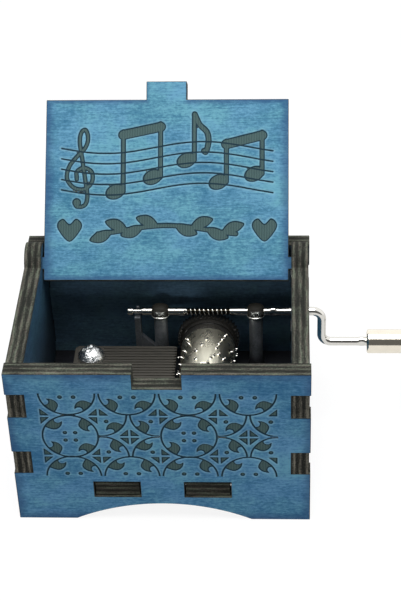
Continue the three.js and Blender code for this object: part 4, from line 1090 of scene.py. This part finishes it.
def build_crank(bright, polished):
    """The wire is a tube along its path: at each place the ring of radius r(angle) lies across
    the path, with its first point to the back."""
    sides = 48
    angle = np.arange(sides) * 2 * np.pi / sides
    rows = []

    def ring(x, z, tilt=0.0, radius=1.0):
        side, lift = radius * np.cos(angle), radius * np.sin(angle)
        rows.append(np.stack([x - lift * math.sin(tilt), SHAFT[0] + side,
                              z + lift * math.cos(tilt)], 1))

    def rings(z, *places):
        for x, radius in places:
            ring(x, z, radius=radius)

    def pinch(middle, length, z, steps):
        for t in np.linspace(0, 1, steps):
            ring(middle + (t - 0.5) * length, z, radius=pinched(angle, 0.5 * math.sin(math.pi * t)))

    start, end = THREAD
    rings(SHAFT[1], (-9.4, 0.8), (-9.34, 0.93), (-9.2, 1.0), (-9.05, 1.0), (-8.4, 1.0),
          (-8.25, 1.0), (-8.18, 0.97), (-8.1, 0.57), (-8.0, 0.55), (-6.3, 0.55), (-6.2, 0.57),
          (-6.12, 0.97), (-6.05, 1.0), (-5.9, 1.0), (start - 0.4, 1.0))
    for x in np.arange(start, end + 0.01, 1 / 24):
        blend = min(1, (x - start) / 0.3, (end - x) / 0.3)
        ring(x, SHAFT[1], radius=1 + blend * (worm_radius(x, angle) - 1))
    rings(SHAFT[1], (end + 0.4, 1.0), (end + 0.6, 1.0), (22.9, 1.0))
    pinch(INNER_STOP, 1.5, SHAFT[1], 13)
    rings(SHAFT[1], (24.8, 1.0), (ARM_X - BEND - 0.2, 1.0))
    for t in np.linspace(0, np.pi / 2, 17):
        ring(ARM_X - BEND + BEND * math.sin(t), SHAFT[1] - BEND + BEND * math.cos(t), -t)
    for z in (SHAFT[1] - BEND - 0.2, GRIP_Z + BEND + 0.2):
        ring(ARM_X, z, -np.pi / 2)
    for t in np.linspace(np.pi / 2, 0, 17):
        ring(ARM_X + BEND - BEND * math.sin(t), GRIP_Z + BEND - BEND * math.cos(t), -t)
    rings(GRIP_Z, (ARM_X + BEND + 0.2, 1.0), (42.9, 1.0))
    pinch(GRIP_STOP, 1.9, GRIP_Z, 15)
    rings(GRIP_Z, (45.2, 1.0), (WIRE_END, 1.0), (WIRE_END, 1.35), (57.35, 1.47), (57.45, 1.5),
          (57.7, 1.45), (57.8, 1.25))
    Piece("crank_bent_wire").add(np.concatenate(rows), capped(len(rows), sides)).finish(
        "crank", ["crank_wire"], "bright_steel", [bright], sharp=50)
    knob = [(1.15, 0.0), (2.2, 0.0), (2.45, 0.06), (2.65, 0.17), (2.76, 0.33), (2.79, 0.52),
            (2.79, 12.24), (2.76, 12.38), (2.65, 12.46), (2.45, 12.5), (1.95, 12.5), (1.87, 12.44),
            (1.85, 12.3), (1.85, 11.6), (1.15, 11.6)]
    grip = turned(knob, "x", (GRIP_START, SHAFT[0], GRIP_Z), 96, ring=True)
    Piece("grip_sleeve").add(*grip).finish(
        "knob", ["crank_knob"], "bright_steel", [polished], sharp=40)


# Stage, light and camera


def build_stage():
    """A pale floor that also glows a little to the camera, so that it stays white."""
    mesh = bpy.data.meshes.new("stage_floor")
    mesh.from_pydata([(-3, -3, 0), (3, -3, 0), (3, 3, 0), (-3, 3, 0)], [], [[0, 1, 2, 3]])
    ground = bpy.data.objects.new("stage_floor", mesh)
    bpy.context.scene.collection.objects.link(ground)
    pale = Finish("pale_floor", roughness=0.9, base_color=(0.35, 0.35, 0.35, 1))
    seen = pale.ray("Camera").most(pale.ray("Glossy")).most(pale.ray("Transmission"))
    white, share = 1.46, 0.6
    glow = pale.node("ShaderNodeEmission", {}, {"Strength": white})
    blend = pale.node("ShaderNodeMixShader", {}, [seen * share, pale.shader.outputs[0], glow])
    pale.link(blend, pale.tree.nodes["Material Output"].inputs["Surface"])
    mesh.materials.append(pale.material)


def build_world():
    """White for the camera. Polished metal meets a bright tent overhead and a dark room in front,
    and matt surfaces a soft even glow."""
    world = bpy.data.worlds.new("studio")
    bpy.context.scene.world = world
    world.use_nodes = True
    sky = Nodes(world.node_tree)
    forward = -sky.split(sky.node("ShaderNodeTexCoord", out="Generated"))[1]
    tent, soft_glow = forward.step(0.5, 0.36) * 1.2 + 0.15, 0.25
    glossy = sky.ray("Glossy")
    background = sky.tree.nodes["Background"]
    sky.link(sky.ray("Camera").most(glossy * tent + (1 - glossy) * soft_glow),
             background.inputs["Strength"])
    sky.link((1, 1, 1, 1), background.inputs["Color"])


def lamp(name, at, towards, size, power):
    """A soft square lamp at a point of the row's frame, in metres, turned to another point."""
    light = bpy.data.lights.new(name, "AREA")
    light.size = size
    light.energy = power
    holder = bpy.data.objects.new(name, light)
    bpy.context.scene.collection.objects.link(holder)
    aim = Vector(towards) - Vector(at)
    holder.matrix_world = Matrix.Translation(at) @ aim.to_track_quat("-Z", "Y").to_matrix().to_4x4()
    return holder


def build_camera():
    """The camera of the photograph, as fitted to the case's corners: turned by its yaw about the
    vertical, tipped down by its pitch, and rolled about its own line of sight."""
    pitch, yaw, roll = map(math.radians, (37.893, 3.677, -2.221))
    focal_pixels, photo_height, place = 1726.05, 601, (27.167, -294.317, 271.417)
    data = bpy.data.cameras.new("camera")
    data.sensor_width = 36
    data.lens = focal_pixels * data.sensor_width / photo_height
    data.clip_start = 0.01
    camera = bpy.data.objects.new("camera", data)
    bpy.context.scene.collection.objects.link(camera)
    camera.matrix_world = (
        Matrix.Translation(to_row(place).tolist()) @ Matrix.Rotation(yaw, 4, "Z")
        @ Matrix.Rotation(math.pi / 2 - pitch, 4, "X") @ Matrix.Rotation(roll, 4, "Z"))
    bpy.context.scene.camera = camera


def main():
    build_camera()
    build_stage()
    build_world()
    casting = cast_metal("cast_grey", srgb(88, 93, 97), srgb(140, 145, 150))
    resin = gloss_resin("black_gloss", srgb(31, 30, 28))
    bright = bright_metal("plated_wire", srgb(214, 212, 206), 0.16, 0.1, (0.3, 6.0, 6.0))
    satin = bright_metal("satin_cup", srgb(236, 236, 228), 0.36, 0.1, (0.4, 0.4, 0.4))
    threaded = bright_metal("threaded_wire", srgb(214, 212, 206), 0.11, 0.05, (0.3, 6.0, 6.0),
                            painted_shade_mask=thread_root_shade)
    polished = bright_metal("turned_sleeve", srgb(232, 225, 210), 0.1, 0.04, (9.0, 0.4, 0.4))
    drum_steel = bright_metal("drum_skin", srgb(222, 218, 200), 0.25, 0.06, (0.4, 0.4, 0.4), 0.002)
    pin_steel = bright_metal("pin_steel", srgb(238, 235, 226), 0.2, 0.05)
    comb_steel = bright_metal("comb_steel", srgb(84, 82, 77), 0.4, 0.3, (0.5, 7.0, 7.0))
    worn = bright_metal("screw_plating", srgb(236, 238, 238), 0.12, 0.3, (1.7, 1.7, 1.7), 0.35)
    brass = bright_metal("packing_brass", srgb(176, 141, 87), 0.35, 0.2)
    build_case()
    build_casting(casting)
    build_balls(capped_ball("capped_ball"), satin)
    build_comb(comb_steel, brass)
    build_screws(bright, worn)
    build_drum(drum_steel, pin_steel, resin, bright)
    build_crank(threaded, polished)
    lamp("overhead", (0.0, -0.055, 0.46), (0, 0, 0.03), 0.33, 2.5)
    lamp("front", (-0.05, -0.95, 0.3), (0, 0, 0.03), 0.14, 2.75).visible_glossy = False
    bpy.context.scene.view_settings.view_transform = "Standard"


main()
